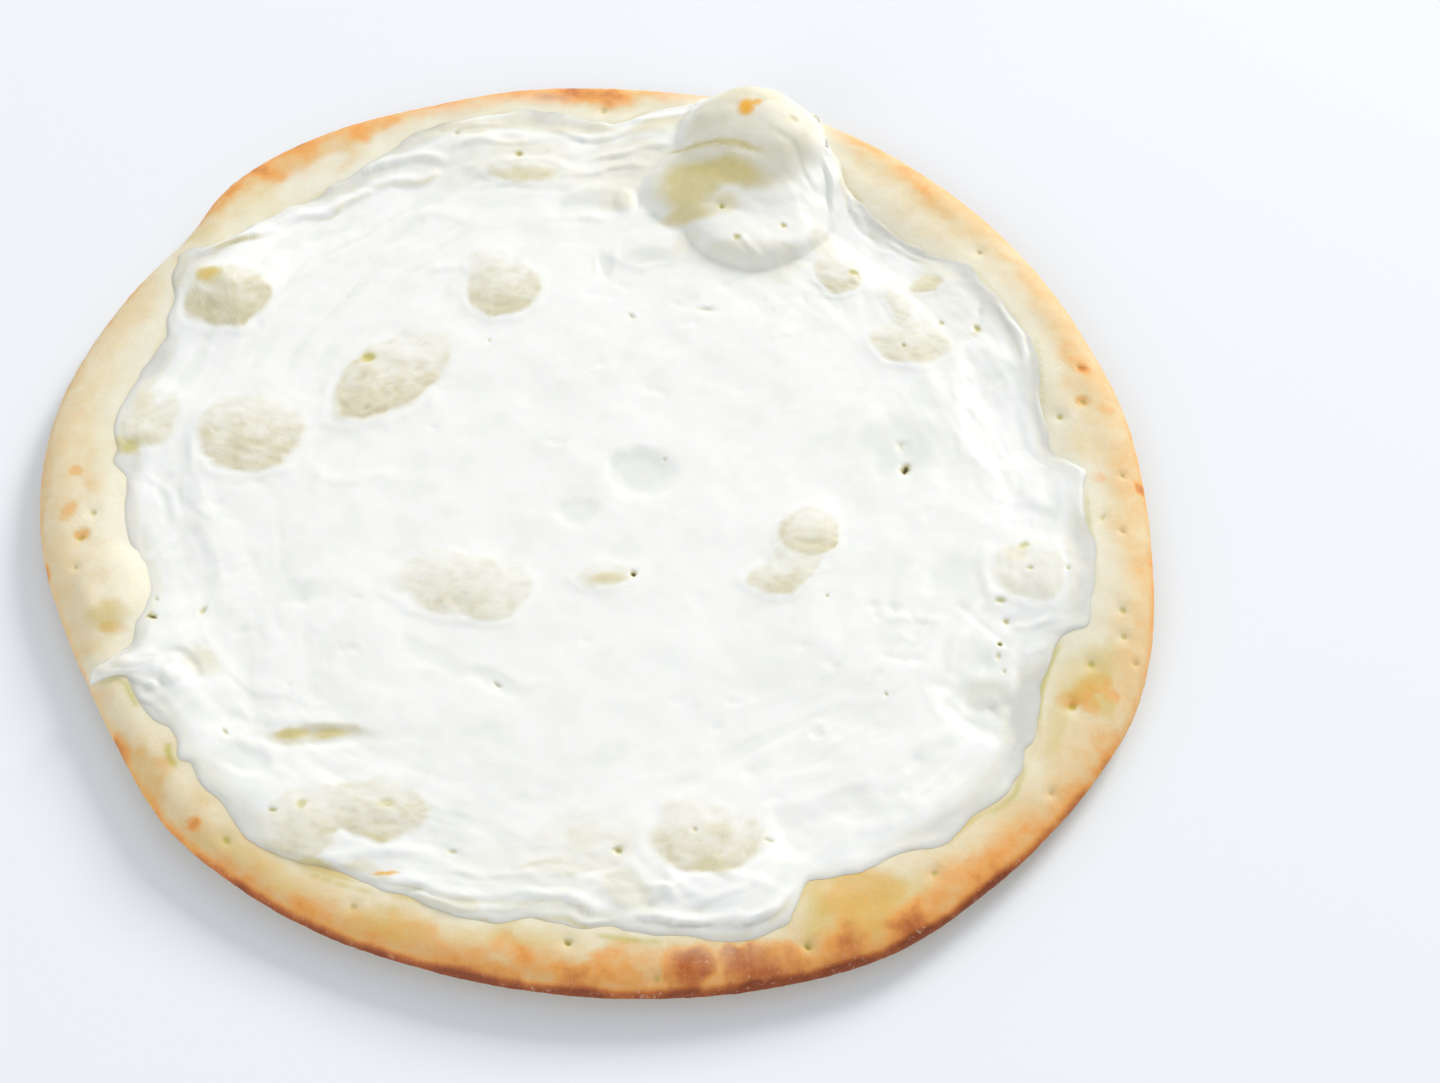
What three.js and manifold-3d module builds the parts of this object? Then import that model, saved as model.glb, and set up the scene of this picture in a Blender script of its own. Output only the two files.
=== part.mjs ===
// A labneh flatbread: one round of baked dough with a raised rim, and a thick layer of strained
// yoghurt spread over it. Millimetres, +Z up. The origin is on the surface that the bread rests
// on, under the middle of its bounding box. +X runs to the right and +Y away from the eater.

import * as THREE from "three";
import { mergeVertices } from "three/addons/utils/BufferGeometryUtils.js";
import Module from "manifold-3d";

// ---- Driving dimensions, in millimetres ----

const FLOOR_THICKNESS = 5.0; // the pressed middle of the dough, under the labneh
const RIM_TOP = 9.2; // the crest of the rim above the table
const RIM_MIDDLE = 5.0; // the height at which the outside of the crust is widest
const RIM_LIFT = 2.2; // how far the underside of the rim curls up off the table
const RIM_WAVES = [{ count: 2, high: 0.4, turn: 0.5 }, { count: 5, high: 0.5, turn: 2.1 },
  { count: 9, high: 0.35, turn: 4.0 }]; // the rim rises and falls along its length
const LABNEH_DEPTH = 4.0; // over the pressed middle
const LABNEH_LIP = 2.0; // at its edge, on the slope of the rim
const LABNEH_OVER_BUBBLE = 1.5; // where the dough has puffed up under it
const GAP = 0.3; // clearance between the bread and the labneh
const SINK = 1.5; // how far the uncut labneh reaches into the bread before it is trimmed

// ---- Shares of the crust's radius, from 0 in the middle to 1 outside ----

const CURL_START = 0.8; // where the underside leaves the table
const SLOPE_START = 0.74; // where the pressed floor starts to rise to the rim
const CREST = 0.9; // where the rim is highest
const ROUNDING_START = 0.93; // where the rim starts to round over

// ---- Shares of the labneh's radius ----

const THINNING_START = 0.84; // where the labneh starts to thin towards its edge
const LIP_START = 0.965; // where its edge starts to round over

const BEARINGS = 84;
const UNDER_SHARES = [0, 0.3, 0.55, CURL_START, 0.87, ROUNDING_START, 0.965, 0.985, 0.997, 1];
const OVER_SHARES = [0.997, 0.985, 0.965, ROUNDING_START, CREST, 0.87, 0.84, 0.81, 0.775, SLOPE_START,
  0.7, 0.66, 0.61, 0.56, 0.5, 0.44, 0.38, 0.31, 0.23, 0.13, 0];
const SPREAD_UNDER_SHARES = [0, 0.5, 0.7, THINNING_START, 0.92, 1];
const SPREAD_OVER_SHARES = [0.996, 0.985, LIP_START, 0.94, 0.91, 0.875, THINNING_START, 0.8, 0.76,
  0.71, 0.66, 0.6, 0.54, 0.48, 0.41, 0.33, 0.25, 0.14, 0];

// The outside of the crust, anticlockwise from +X.
const CRUST_OUTLINE = [
  [135, -1], [132, 24], [125, 44], [113, 69], [95, 93], [70, 114], [45, 127], [20, 132],
  [0, 134], [-25, 133], [-45, 128], [-70, 120], [-90, 108], [-101, 97], [-108, 79],
  [-117, 68], [-127, 49], [-134, 29], [-136, 9], [-135, -5], [-132, -20], [-124, -40],
  [-115, -58], [-105, -76], [-94, -93], [-80, -105], [-55, -120], [-35, -127], [-8, -133],
  [18, -134.5], [45, -131.5], [70, -124], [88, -111], [106, -94], [118, -79], [127, -65],
  [133, -45], [135, -22],
];

// The edge of the labneh, anticlockwise from +X.
const LABNEH_OUTLINE = [
  [119, -2], [118, 6], [112, 14], [111, 32], [105, 54], [98, 67], [80, 81], [66, 95],
  [60, 113], [50, 122], [35, 126], [12, 125], [-5, 119], [-22, 123], [-48, 122], [-60, 106],
  [-76, 95], [-96, 83], [-111, 71], [-110, 52], [-113, 38], [-117, 25], [-117, 9],
  [-112, -13], [-106, -31], [-110, -46], [-113, -54], [-105, -58], [-93, -75], [-84, -90],
  [-70, -100], [-50, -105], [-32, -113], [-8, -117], [15, -120], [38, -120], [52, -107],
  [72, -100], [92, -88], [103, -70], [105, -50], [118, -38], [120, -20],
];

// Bubbles in the dough: the middle, the half widths along X and Y, and the height that each adds.
const BUBBLES = [
  { x: 42, y: 105, wide: 25, deep: 25, high: 12 },
  { x: 40, y: 82, wide: 24, deep: 17, high: 6 },
  { x: -95, y: 56, wide: 14, deep: 14, high: 3.5 },
  { x: -110, y: 20, wide: 12, deep: 13, high: 2.5 },
  { x: -84, y: 15, wide: 17, deep: 18, high: 4 },
  { x: -49, y: 34, wide: 18, deep: 20, high: 4.5 },
  { x: -24, y: 64, wide: 14, deep: 16, high: 4 },
  { x: -31, y: -30, wide: 19, deep: 14, high: 4 },
  { x: 50, y: -20, wide: 14, deep: 17, high: 3.5 },
  { x: 108, y: -28, wide: 13, deep: 16, high: 2.5 },
  { x: -51, y: -90, wide: 22, deep: 13, high: 3.5 },
  { x: 2, y: -95, wide: 16, deep: 12, high: 3 },
  { x: 28, y: -95, wide: 16, deep: 13, high: 3.5 },
  { x: 62, y: 67, wide: 11, deep: 11, high: 4 },
  { x: 82, y: 50, wide: 17, deep: 16, high: 3.5 },
  { x: -115, y: -31, wide: 12, deep: 13, high: 2 },
];

const CRUST_COLOUR = 0xe3c78f;
const LABNEH_COLOUR = 0xf4f3ec;

// ---- Helpers ----

const clamp01 = (value) => Math.min(1, Math.max(0, value));
const lerp = (a, b, share) => a + (b - a) * share;
const ease = (share) => clamp01(share) ** 2 * (3 - 2 * clamp01(share));

/** A quarter circle's height: 1 until start, then down to 0 at end. */
const roundOver = (value, start, end) => Math.sqrt(1 - clamp01((value - start) / (end - start)) ** 2);

/** The same bearing between 0 and a full turn. */
const fullTurn = (bearing) => ((bearing % (2 * Math.PI)) + 2 * Math.PI) % (2 * Math.PI);

/** Gives the radius of a closed outline at a bearing in radians. */
function radiusOf(outline) {
  const corners = outline.map(([x, y]) => new THREE.Vector3(x, y, 0));
  const samples = new THREE.CatmullRomCurve3(corners, true, "centripetal")
    .getPoints(outline.length * 12)
    .map((p) => ({ bearing: fullTurn(Math.atan2(p.y, p.x)), radius: Math.hypot(p.x, p.y) }))
    .sort((a, b) => a.bearing - b.bearing);
  return (bearing) => {
    const turn = fullTurn(bearing);
    const after = samples.findIndex((s) => s.bearing >= turn);
    const next = samples[after < 0 ? 0 : after];
    const last = samples[after <= 0 ? samples.length - 1 : after - 1];
    const span = fullTurn(next.bearing - last.bearing);
    const passed = fullTurn(turn - last.bearing);
    return lerp(last.radius, next.radius, span ? passed / span : 0);
  };
}

const crustRadius = radiusOf(CRUST_OUTLINE);
const labnehRadius = radiusOf(LABNEH_OUTLINE);

/** How far the bubbles lift the dough at a point; where bubbles meet they run together. */
function bubbleLift(x, y) {
  const cubes = BUBBLES.map(({ x: cx, y: cy, wide, deep, high }) => {
    const reach = Math.hypot((x - cx) / wide, (y - cy) / deep);
    return reach < 1 ? (high * (1 - reach ** 2) ** 1.5) ** 3 : 0;
  });
  return Math.cbrt(cubes.reduce((a, b) => a + b, 0));
}

/** The share of the crust's radius at a point. */
const crustShare = (x, y) => Math.hypot(x, y) / crustRadius(Math.atan2(y, x));

/** The top of the bread at a point, without its bubbles. */
function plainBreadTop(x, y) {
  const share = crustShare(x, y);
  const bearing = Math.atan2(y, x);
  const wave = RIM_WAVES.reduce((sum, w) => sum + w.high * Math.sin(w.count * bearing + w.turn), 0);
  const rise = ease((share - SLOPE_START) / (CREST - SLOPE_START));
  const top = lerp(FLOOR_THICKNESS, RIM_TOP + wave, rise);
  return lerp(RIM_MIDDLE, top, roundOver(share, ROUNDING_START, 1));
}

/** The underside of the bread at a share of its radius. */
function breadUnder(share) {
  const curl = RIM_LIFT * ease((share - CURL_START) / (1 - CURL_START));
  return lerp(RIM_MIDDLE, curl, roundOver(share, ROUNDING_START, 1));
}

/** The depth of the labneh at a share of its own radius, over a bubble that lifts the dough. */
function labnehDepth(share, lift) {
  const thinning = ease((share - THINNING_START) / (1 - THINNING_START));
  const open = lerp(LABNEH_DEPTH, LABNEH_LIP, thinning);
  return lerp(open, LABNEH_OVER_BUBBLE, clamp01(lift / 3)) * roundOver(share, LIP_START, 1);
}

/**
 * Lathes a closed profile, then stretches it to an outline.
 * @param profile the points from the axis to the edge and back, each with its share of the radius
 * @param radius gives the outline's radius at a bearing
 * @param height gives the height of a profile point that has come to x, y
 */
function latheToOutline(profile, radius, height) {
  const points = profile.map(({ share }, index) => new THREE.Vector2(share, index));
  const shape = new THREE.LatheGeometry(points, BEARINGS);
  shape.rotateX(Math.PI / 2);
  const position = shape.getAttribute("position");
  for (let i = 0; i < position.count; i++) {
    const bearing = Math.atan2(position.getY(i), position.getX(i));
    const point = profile[Math.round(position.getZ(i))];
    const x = point.share * radius(bearing) * Math.cos(bearing);
    const y = point.share * radius(bearing) * Math.sin(bearing);
    position.setXYZ(i, x, y, height(point, x, y));
  }
  shape.deleteAttribute("normal");
  shape.deleteAttribute("uv");
  return mergeVertices(shape, 1e-3);
}

const underPoint = (share) => ({ share, top: false });
const overPoint = (share) => ({ share, top: true });

// ---- Solids ----

const wasm = await Module();
wasm.setup();

function solidFrom(geometry) {
  return new wasm.Manifold(new wasm.Mesh({
    numProp: 3,
    vertProperties: geometry.getAttribute("position").array,
    triVerts: new Uint32Array(geometry.index.array),
  }));
}

function geometryFrom(solid) {
  const mesh = solid.getMesh();
  const geometry = new THREE.BufferGeometry();
  geometry.setAttribute("position", new THREE.BufferAttribute(mesh.vertProperties, 3));
  geometry.setIndex(new THREE.BufferAttribute(mesh.triVerts, 1));
  geometry.computeVertexNormals();
  return geometry;
}

/** The round of dough: a pressed floor, a raised rim and the bubbles. */
function makeBread() {
  const profile = [...UNDER_SHARES.map(underPoint), ...OVER_SHARES.map(overPoint)];
  return latheToOutline(profile, crustRadius, ({ share, top }, x, y) => {
    if (!top) return breadUnder(share);
    return plainBreadTop(x, y) + bubbleLift(x, y) * roundOver(share, ROUNDING_START, 1);
  });
}

/** The labneh, sunk a little into the bread so that the bread can trim its underside. */
function makeUncutLabneh() {
  const profile = [...SPREAD_UNDER_SHARES.map(underPoint), ...SPREAD_OVER_SHARES.map(overPoint)];
  return latheToOutline(profile, labnehRadius, ({ share, top }, x, y) => {
    const floor = plainBreadTop(x, y);
    const lift = bubbleLift(x, y);
    return top ? floor + lift + GAP + labnehDepth(share, lift) : floor - SINK;
  });
}

const breadGeometry = makeBread();
const trimmer = solidFrom(breadGeometry).translate([0, 0, GAP]);
const trimmed = solidFrom(makeUncutLabneh()).subtract(trimmer);
const largest = trimmed.decompose().reduce((a, b) => (a.volume() > b.volume() ? a : b));

// ---- The object ----

const bread = new THREE.Mesh(
  breadGeometry,
  new THREE.MeshStandardMaterial({ color: CRUST_COLOUR, roughness: 0.75, metalness: 0 }),
);
bread.name = "flatbread";

const labneh = new THREE.Mesh(
  geometryFrom(largest),
  new THREE.MeshStandardMaterial({ color: LABNEH_COLOUR, roughness: 0.5, metalness: 0 }),
);
labneh.name = "labneh_spread";

const flatbreadWithLabneh = new THREE.Group();
flatbreadWithLabneh.add(bread, labneh);

// The outline is drawn by hand, so its box is centred on the origin last.
const box = new THREE.Box3().setFromObject(flatbreadWithLabneh);
const middle = box.getCenter(new THREE.Vector3());
for (const mesh of [bread, labneh]) mesh.position.set(-middle.x, -middle.y, -box.min.z);

export default flatbreadWithLabneh;
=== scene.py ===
"""A labneh flatbread: a hand-shaped round of baked dough with labneh spread over it.

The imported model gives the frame. Sizes in the classes are millimetres in that frame, and each
mesh becomes metres when it is finished. +X runs to the right and +Y away from the eater.
"""

import logging
import math
import random
from dataclasses import dataclass, field
from enum import Enum
from typing import Callable, Sequence, Union

import bmesh
import bpy
import numpy as np
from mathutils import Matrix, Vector, noise

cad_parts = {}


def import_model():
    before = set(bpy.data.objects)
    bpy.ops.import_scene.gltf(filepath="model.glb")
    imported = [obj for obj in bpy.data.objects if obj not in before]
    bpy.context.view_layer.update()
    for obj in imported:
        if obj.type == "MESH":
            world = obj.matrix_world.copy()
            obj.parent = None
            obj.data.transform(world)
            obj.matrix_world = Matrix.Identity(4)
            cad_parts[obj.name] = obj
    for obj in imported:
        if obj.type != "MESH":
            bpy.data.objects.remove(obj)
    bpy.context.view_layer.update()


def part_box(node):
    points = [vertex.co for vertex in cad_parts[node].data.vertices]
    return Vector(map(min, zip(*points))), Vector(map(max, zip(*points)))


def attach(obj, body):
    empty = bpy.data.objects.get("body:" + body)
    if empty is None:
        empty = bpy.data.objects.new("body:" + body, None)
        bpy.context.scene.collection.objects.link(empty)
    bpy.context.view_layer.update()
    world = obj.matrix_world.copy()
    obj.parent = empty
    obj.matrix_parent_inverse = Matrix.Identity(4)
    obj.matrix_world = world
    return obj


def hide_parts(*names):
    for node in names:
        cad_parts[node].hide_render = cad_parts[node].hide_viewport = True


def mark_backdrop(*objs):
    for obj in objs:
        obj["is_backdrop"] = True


LOG = logging.getLogger("labneh_flatbread")
METRES_PER_MM = 0.001
Point = tuple[float, float]
Triple = tuple[float, float, float]
Colour = tuple[float, float, float, float]
Input = Union[bpy.types.NodeSocket, float]


# ---------------------------------------------------------------------------
# Numbers, noise and outlines
# ---------------------------------------------------------------------------


def smoothstep(low: float, high: float, value: np.ndarray) -> np.ndarray:
    """Eases from 0 at low to 1 at high; low may be the larger of the two."""
    share = np.clip((value - low) / (high - low), 0.0, 1.0)
    return share * share * (3.0 - 2.0 * share)


def smooth_max(first: np.ndarray, second: np.ndarray, blend: float) -> np.ndarray:
    """The larger of two heights, rounded over where they are within blend of each other."""
    share = np.clip(0.5 + 0.5 * (first - second) / blend, 0.0, 1.0)
    return second + (first - second) * share + blend * share * (1.0 - share)


def on_table(flat: np.ndarray) -> np.ndarray:
    """Rows of x, y with a third column of zeros."""
    return np.column_stack([flat, np.zeros(len(flat))])


def fractal(places: np.ndarray, size: float, octaves: int = 3, seed: float = 0.0) -> np.ndarray:
    """Gives smooth random values, mostly between -1 and 1.

    Args:
        places: Rows of x, y, z.
        size: How far apart the largest humps are.
        octaves: How many times the detail is doubled.
        seed: Chooses another pattern.

    Returns:
        One value for each row.
    """
    shift = Vector((seed * 17.3, seed * -9.1, seed * 5.7))
    scaled = places / size
    return np.array([noise.fractal(Vector(row) + shift, 1.0, 2.0, octaves) for row in scaled])


def ellipse_reach(flat: np.ndarray, centre: Point, half: Point, turn: float = 0.0) -> np.ndarray:
    """How far places are from the middle of an ellipse, as a share of its half widths.

    Args:
        flat: Rows of x, y.
        centre: The middle of the ellipse.
        half: Its half widths before it is turned.
        turn: Degrees anticlockwise.

    Returns:
        One share for each row: 0 in the middle and 1 on the ellipse.
    """
    cosine, sine = math.cos(math.radians(turn)), math.sin(math.radians(turn))
    dx, dy = flat[:, 0] - centre[0], flat[:, 1] - centre[1]
    along, across = dx * cosine + dy * sine, dy * cosine - dx * sine
    return np.hypot(along / half[0], across / half[1])


def warped(flat: np.ndarray, amount: float, size: float, seed: float) -> np.ndarray:
    """Bends places about, so that a shape read at them gets a wandering edge.

    Args:
        flat: Rows of x, y.
        amount: About how far places move.
        size: How far apart the bends are.
        seed: Chooses another pattern.

    Returns:
        The bent rows of x, y.
    """
    ground = on_table(flat)
    bends = [fractal(ground, size, 2, seed + shift) for shift in (0, 0.37)]
    return flat + amount * np.column_stack(bends)


def smooth_path(points: Sequence[Point], steps: int = 8) -> np.ndarray:
    """Runs a Catmull-Rom curve through the points of an open line.

    Args:
        points: The points.
        steps: How many parts each span is cut into.

    Returns:
        Rows of x, y along the curve.
    """
    corners = np.array([points[0], *points, points[-1]], float)
    share = np.linspace(0.0, 1.0, steps, endpoint=False)[:, None]
    pieces = []
    for a, b, c, d in zip(corners, corners[1:], corners[2:], corners[3:]):
        pieces.append(0.5 * (2 * b + (c - a) * share + (2 * a - 5 * b + 4 * c - d) * share**2
                             + (3 * b - a - 3 * c + d) * share**3))
    return np.vstack([*pieces, corners[-1:]])


class Outline:
    """A closed outline around the origin, read as a radius for each bearing."""

    TURN_STEPS = 1440

    def __init__(self, points: Sequence[Point], rounding: float,
                 offset: Point = (0.0, 0.0)) -> None:
        """Samples the outline.

        Args:
            points: Corners in order round the origin, in millimetres.
            rounding: Degrees of bearing over which the corners are rounded.
            offset: What is added to every point.
        """
        moved = np.array(points, float) + np.array(offset)
        bearings = np.arctan2(moved[:, 1], moved[:, 0]) % math.tau
        order = np.argsort(bearings)
        self.bearings = np.arange(self.TURN_STEPS) * math.tau / self.TURN_STEPS
        radii = np.hypot(moved[:, 0], moved[:, 1])[order]
        plain = np.interp(self.bearings, bearings[order], radii, period=math.tau)
        reach = max(1, round(rounding * self.TURN_STEPS / 360.0))
        window = np.hanning(2 * reach + 3)[1:-1]
        padded = np.concatenate([plain[-reach:], plain, plain[:reach]])
        self.radii = np.convolve(padded, window / window.sum(), mode="valid")

    def radius(self, bearing: np.ndarray) -> np.ndarray:
        """The outline's radius at bearings in radians."""
        return np.interp(bearing % math.tau, self.bearings, self.radii, period=math.tau)

    def share(self, flat: np.ndarray) -> np.ndarray:
        """How far places are from the origin, as a share of the outline's radius there."""
        bearing = np.arctan2(flat[:, 1], flat[:, 0])
        return np.hypot(flat[:, 0], flat[:, 1]) / self.radius(bearing)


# ---------------------------------------------------------------------------
# Marks that shape or colour a surface
# ---------------------------------------------------------------------------


@dataclass(frozen=True)
class Bubble:
    """A bubble of dough under the labneh.

    Attributes:
        centre: Its middle.
        half: Its half widths where it comes level with the labneh round it.
        turn: Degrees anticlockwise.
        proud: How far its top stands above the labneh round it.
        bare: How much of the baked film shows, from 0, white, to 1, beige.
        power: 2 for a dome, and more for a flat top with steep sides.
    """

    centre: Point
    half: Point
    turn: float = 0.0
    proud: float = 0.9
    bare: float = 1.0
    power: float = 2.0

    def reach(self, flat: np.ndarray) -> np.ndarray:
        """Distance from the bubble's middle as a share of its half widths."""
        return ellipse_reach(flat, self.centre, self.half, self.turn)


@dataclass(frozen=True)
class Patch:
    """A soft-edged patch of colour, or a soft rise or hollow where high isn't 0.

    Attributes:
        centre: Its middle.
        half: Its half widths.
        turn: Degrees anticlockwise.
        strength: How much of it shows in its middle, up to 1.
        high: Its height in its middle, or less than 0 for a hollow.
    """

    centre: Point
    half: Point
    turn: float = 0.0
    strength: float = 1.0
    high: float = 0.0

    def cover(self, flat: np.ndarray, unevenness: np.ndarray) -> np.ndarray:
        """The patch's strength at places, with its edge moved in and out by unevenness."""
        reach = ellipse_reach(flat, self.centre, self.half, self.turn) + 0.45 * unevenness
        return self.strength * smoothstep(1.35, 0.55, reach)


@dataclass(frozen=True)
class Pit:
    """A pricked or burst hole with a stained bottom, round or a slit.

    Attributes:
        centre: Its middle.
        radius: Its half width.
        stain: How dark its bottom is: about 0.5 is an olive stain; in the labneh, values past 0.6 turn
            towards nearly black, painted shade in the hole.
        deep: Its depth.
        stretch: Its length as a multiple of its width.
        turn: Degrees anticlockwise that its length is turned.
    """

    centre: Point
    radius: float = 0.8
    stain: float = 0.55
    deep: float = 0.38
    stretch: float = 1.0
    turn: float = 0.0

    def reach(self, flat: np.ndarray) -> np.ndarray:
        """Distance from the pit's middle as a share of its half width."""
        return ellipse_reach(flat, self.centre, (self.radius * self.stretch, self.radius), self.turn)


@dataclass(frozen=True)
class Fold:
    """A crest or groove: one slope on its left and another on its right.

    Attributes:
        path: The points that the crest runs through.
        high: Its height, or less than 0 for a groove.
        gentle: How far the left slope reaches.
        steep: How far the right slope reaches.
    """

    path: tuple[Point, ...]
    high: float = 0.9
    gentle: float = 6.0
    steep: float = 1.0

    def rise(self, flat: np.ndarray, unevenness: np.ndarray) -> np.ndarray:
        """What the fold adds at places.

        Args:
            flat: Rows of x, y.
            unevenness: Noise that makes the fold higher and lower along its length.

        Returns:
            One height for each row.
        """
        line = smooth_path(self.path)
        margin = max(self.gentle, self.steep)
        near = np.all((flat > line.min(0) - margin) & (flat < line.max(0) + margin), axis=1)
        offsets = flat[near][:, None, :] - line[None, :, :]
        distances = np.linalg.norm(offsets, axis=2)
        closest = distances.argmin(axis=1)
        rows = np.arange(len(closest))
        tangents = np.gradient(line, axis=0)[closest]
        offset = offsets[rows, closest]
        left = tangents[:, 0] * offset[:, 1] - tangents[:, 1] * offset[:, 0] > 0
        distance = distances[rows, closest]
        along = closest / (len(line) - 1)
        taper = smoothstep(0.0, 0.25, along) * smoothstep(1.0, 0.75, along)
        slope = np.where(left, smoothstep(self.gentle, 0.0, distance),
                         smoothstep(self.steep, 0.0, distance))
        rise = np.zeros(len(flat))
        rise[near] = self.high * taper * slope * (1.0 + 0.6 * unevenness[near])
        return rise


def stroke(path: tuple[Point, ...], width: float = 0.9, strength: float = 0.7) -> Fold:
    """A thin painted line, as a fold whose height is its strength."""
    return Fold(path, strength, width, width)


@dataclass(frozen=True)
class ChipField:
    """Where small flakes and nicks lie close together in the labneh.

    Attributes:
        centre: The middle of the field.
        half: Its half widths.
        count: How many there are.
        slant: The way that most of them point, in degrees.
    """

    centre: Point
    half: Point
    count: int
    slant: float = 0.0

    def chips(self, draw: random.Random) -> list[Fold]:
        """Places the chips.

        Args:
            draw: Where the random numbers come from.

        Returns:
            Short folds, most of them about as steep as the labneh can stand.
        """
        chips = []
        for _ in range(self.count):
            bearing, spread = draw.uniform(0, math.tau), math.sqrt(draw.random())
            x = self.centre[0] + self.half[0] * spread * math.cos(bearing)
            y = self.centre[1] + self.half[1] * spread * math.sin(bearing)
            turn = math.radians(self.slant + draw.gauss(0, 35))
            length, bend = draw.uniform(1.2, 3.2), draw.uniform(-0.6, 0.6)
            dx, dy = length * math.cos(turn), length * math.sin(turn)
            path = ((x - dx, y - dy), (x - bend * dy, y + bend * dx), (x + dx, y + dy))
            chips.append(Fold(path, draw.choice((0.22, -0.25, -0.35)), draw.uniform(1.6, 3.4), 0.9))
        return chips


# ---------------------------------------------------------------------------
# Mesh making
# ---------------------------------------------------------------------------


def grow_band(work: bmesh.types.BMesh, rim: list[bmesh.types.BMEdge], cuts: int,
              move: Callable[[bmesh.types.BMVert], None]) -> list[bmesh.types.BMEdge]:
    """Extrudes a closed rim of edges, moves the new rim and cuts the band between into rings.

    Args:
        work: The mesh.
        rim: The rim to extrude.
        cuts: How many rings are cut into the band.
        move: Puts one vertex of the new rim in its place.

    Returns:
        The new rim.
    """
    grown = bmesh.ops.extrude_edge_only(work, edges=rim)["geom"]
    edges = [item for item in grown if isinstance(item, bmesh.types.BMEdge)]
    new_rim = [edge for edge in edges if edge.is_boundary]
    rim_verts = {vert for edge in new_rim for vert in edge.verts}
    for vert in rim_verts:
        move(vert)
    if cuts:
        on_rim = set(new_rim)
        across = {edge for vert in rim_verts for edge in vert.link_edges if edge not in on_rim}
        bmesh.ops.subdivide_edges(work, edges=list(across), cuts=cuts)
    return new_rim


def close_rim(work: bmesh.types.BMesh, rim: list[bmesh.types.BMEdge],
              layer: bmesh.types.BMLayerItem) -> None:
    """Closes a rim with a fan round one new middle vertex.

    Args:
        work: The mesh.
        rim: The rim to close.
        layer: The float layer in which the new vertex gets 0.
    """
    faces = bmesh.ops.contextual_create(work, geom=rim)["faces"]
    for vert in bmesh.ops.poke(work, faces=faces)["verts"]:
        vert[layer] = 0.0


def stretch_to(work: bmesh.types.BMesh, outline: Outline, inner: Outline | None = None) -> None:
    """Stretches a disc of radius 1 until it fills an outline.

    Args:
        work: The mesh.
        outline: What its rim becomes.
        inner: A calmer outline that the rings well inside follow.
    """
    flat = np.array([vert.co.xy for vert in work.verts])
    bearing = np.arctan2(flat[:, 1], flat[:, 0])
    radius = outline.radius(bearing)
    if inner is not None:
        calm = inner.radius(bearing)
        radius = calm + (radius - calm) * smoothstep(0.8, 0.985, np.hypot(flat[:, 0], flat[:, 1]))
    for vert, place in zip(work.verts, flat * radius[:, None]):
        vert.co.xy = place


def refine_near(work: bmesh.types.BMesh, centres: Sequence[Point], reach: float,
                layer: bmesh.types.BMLayerItem, cuts: int) -> None:
    """Cuts the faces of the upper surface smaller round small holes.

    Args:
        work: The mesh, before its relief is added.
        centres: The middles of the holes.
        reach: How far from them the faces are cut.
        layer: The float layer that is 1 on the upper surface.
        cuts: How many cuts each edge gets.
    """
    work.verts.ensure_lookup_table()
    flat = np.array([vert.co.xy for vert in work.verts])
    upper = np.array([vert[layer] > 0.99 for vert in work.verts])
    near = np.zeros(len(flat), bool)
    for centre in centres:
        near |= np.hypot(flat[:, 0] - centre[0], flat[:, 1] - centre[1]) < reach
    inside = {work.verts[index] for index in np.flatnonzero(near & upper)}
    edges = {edge for vert in inside for edge in vert.link_edges if edge.other_vert(vert) in inside}
    bmesh.ops.subdivide_edges(work, edges=list(edges), cuts=cuts, use_grid_fill=True)


def place_array(mesh: bpy.types.Mesh) -> np.ndarray:
    """Reads the places of a mesh's vertices.

    Args:
        mesh: The mesh.

    Returns:
        Rows of x, y, z.
    """
    flat = np.empty(len(mesh.vertices) * 3, np.float32)
    mesh.vertices.foreach_get("co", flat)
    return flat.reshape(-1, 3).astype(float)


def set_places(mesh: bpy.types.Mesh, places: np.ndarray) -> None:
    """Writes rows of x, y, z back to the mesh's vertices."""
    mesh.vertices.foreach_set("co", places.astype(np.float32).ravel())
    mesh.update()


def normal_array(mesh: bpy.types.Mesh) -> np.ndarray:
    """Reads the normals of a mesh's vertices.

    Args:
        mesh: The mesh.

    Returns:
        Rows of x, y, z.
    """
    flat = np.empty(len(mesh.vertices) * 3, np.float32)
    mesh.vertex_normals.foreach_get("vector", flat)
    return flat.reshape(-1, 3).astype(float)


def float_array(mesh: bpy.types.Mesh, name: str) -> np.ndarray:
    """Reads a float attribute on a mesh's vertices.

    Args:
        mesh: The mesh.
        name: The attribute's name.

    Returns:
        One value for each vertex.
    """
    values = np.empty(len(mesh.vertices), np.float32)
    mesh.attributes[name].data.foreach_get("value", values)
    return values.astype(float)


def paint(mesh: bpy.types.Mesh, name: str, values: np.ndarray) -> None:
    """Writes a float attribute that the materials read, kept between 0 and 1."""
    attribute = mesh.attributes.new(name, "FLOAT", "POINT")
    attribute.data.foreach_set("value", np.clip(values, 0.0, 1.0).astype(np.float32))


def finish_piece(name: str, work: bmesh.types.BMesh) -> bpy.types.Object:
    """Turns a bmesh into an object with outward, smooth faces, still in millimetres.

    Args:
        name: The object's name.
        work: The mesh, which is freed.

    Returns:
        The object, linked to the scene.
    """
    crowded = [face for face in work.faces if len(face.verts) > 4]
    bmesh.ops.triangulate(work, faces=crowded)
    bmesh.ops.recalc_face_normals(work, faces=work.faces)
    mesh = bpy.data.meshes.new(name)
    work.to_mesh(mesh)
    work.free()
    mesh.shade_smooth()
    piece = bpy.data.objects.new(name, mesh)
    bpy.context.scene.collection.objects.link(piece)
    return piece


# ---------------------------------------------------------------------------
# The dough
# ---------------------------------------------------------------------------

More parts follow.
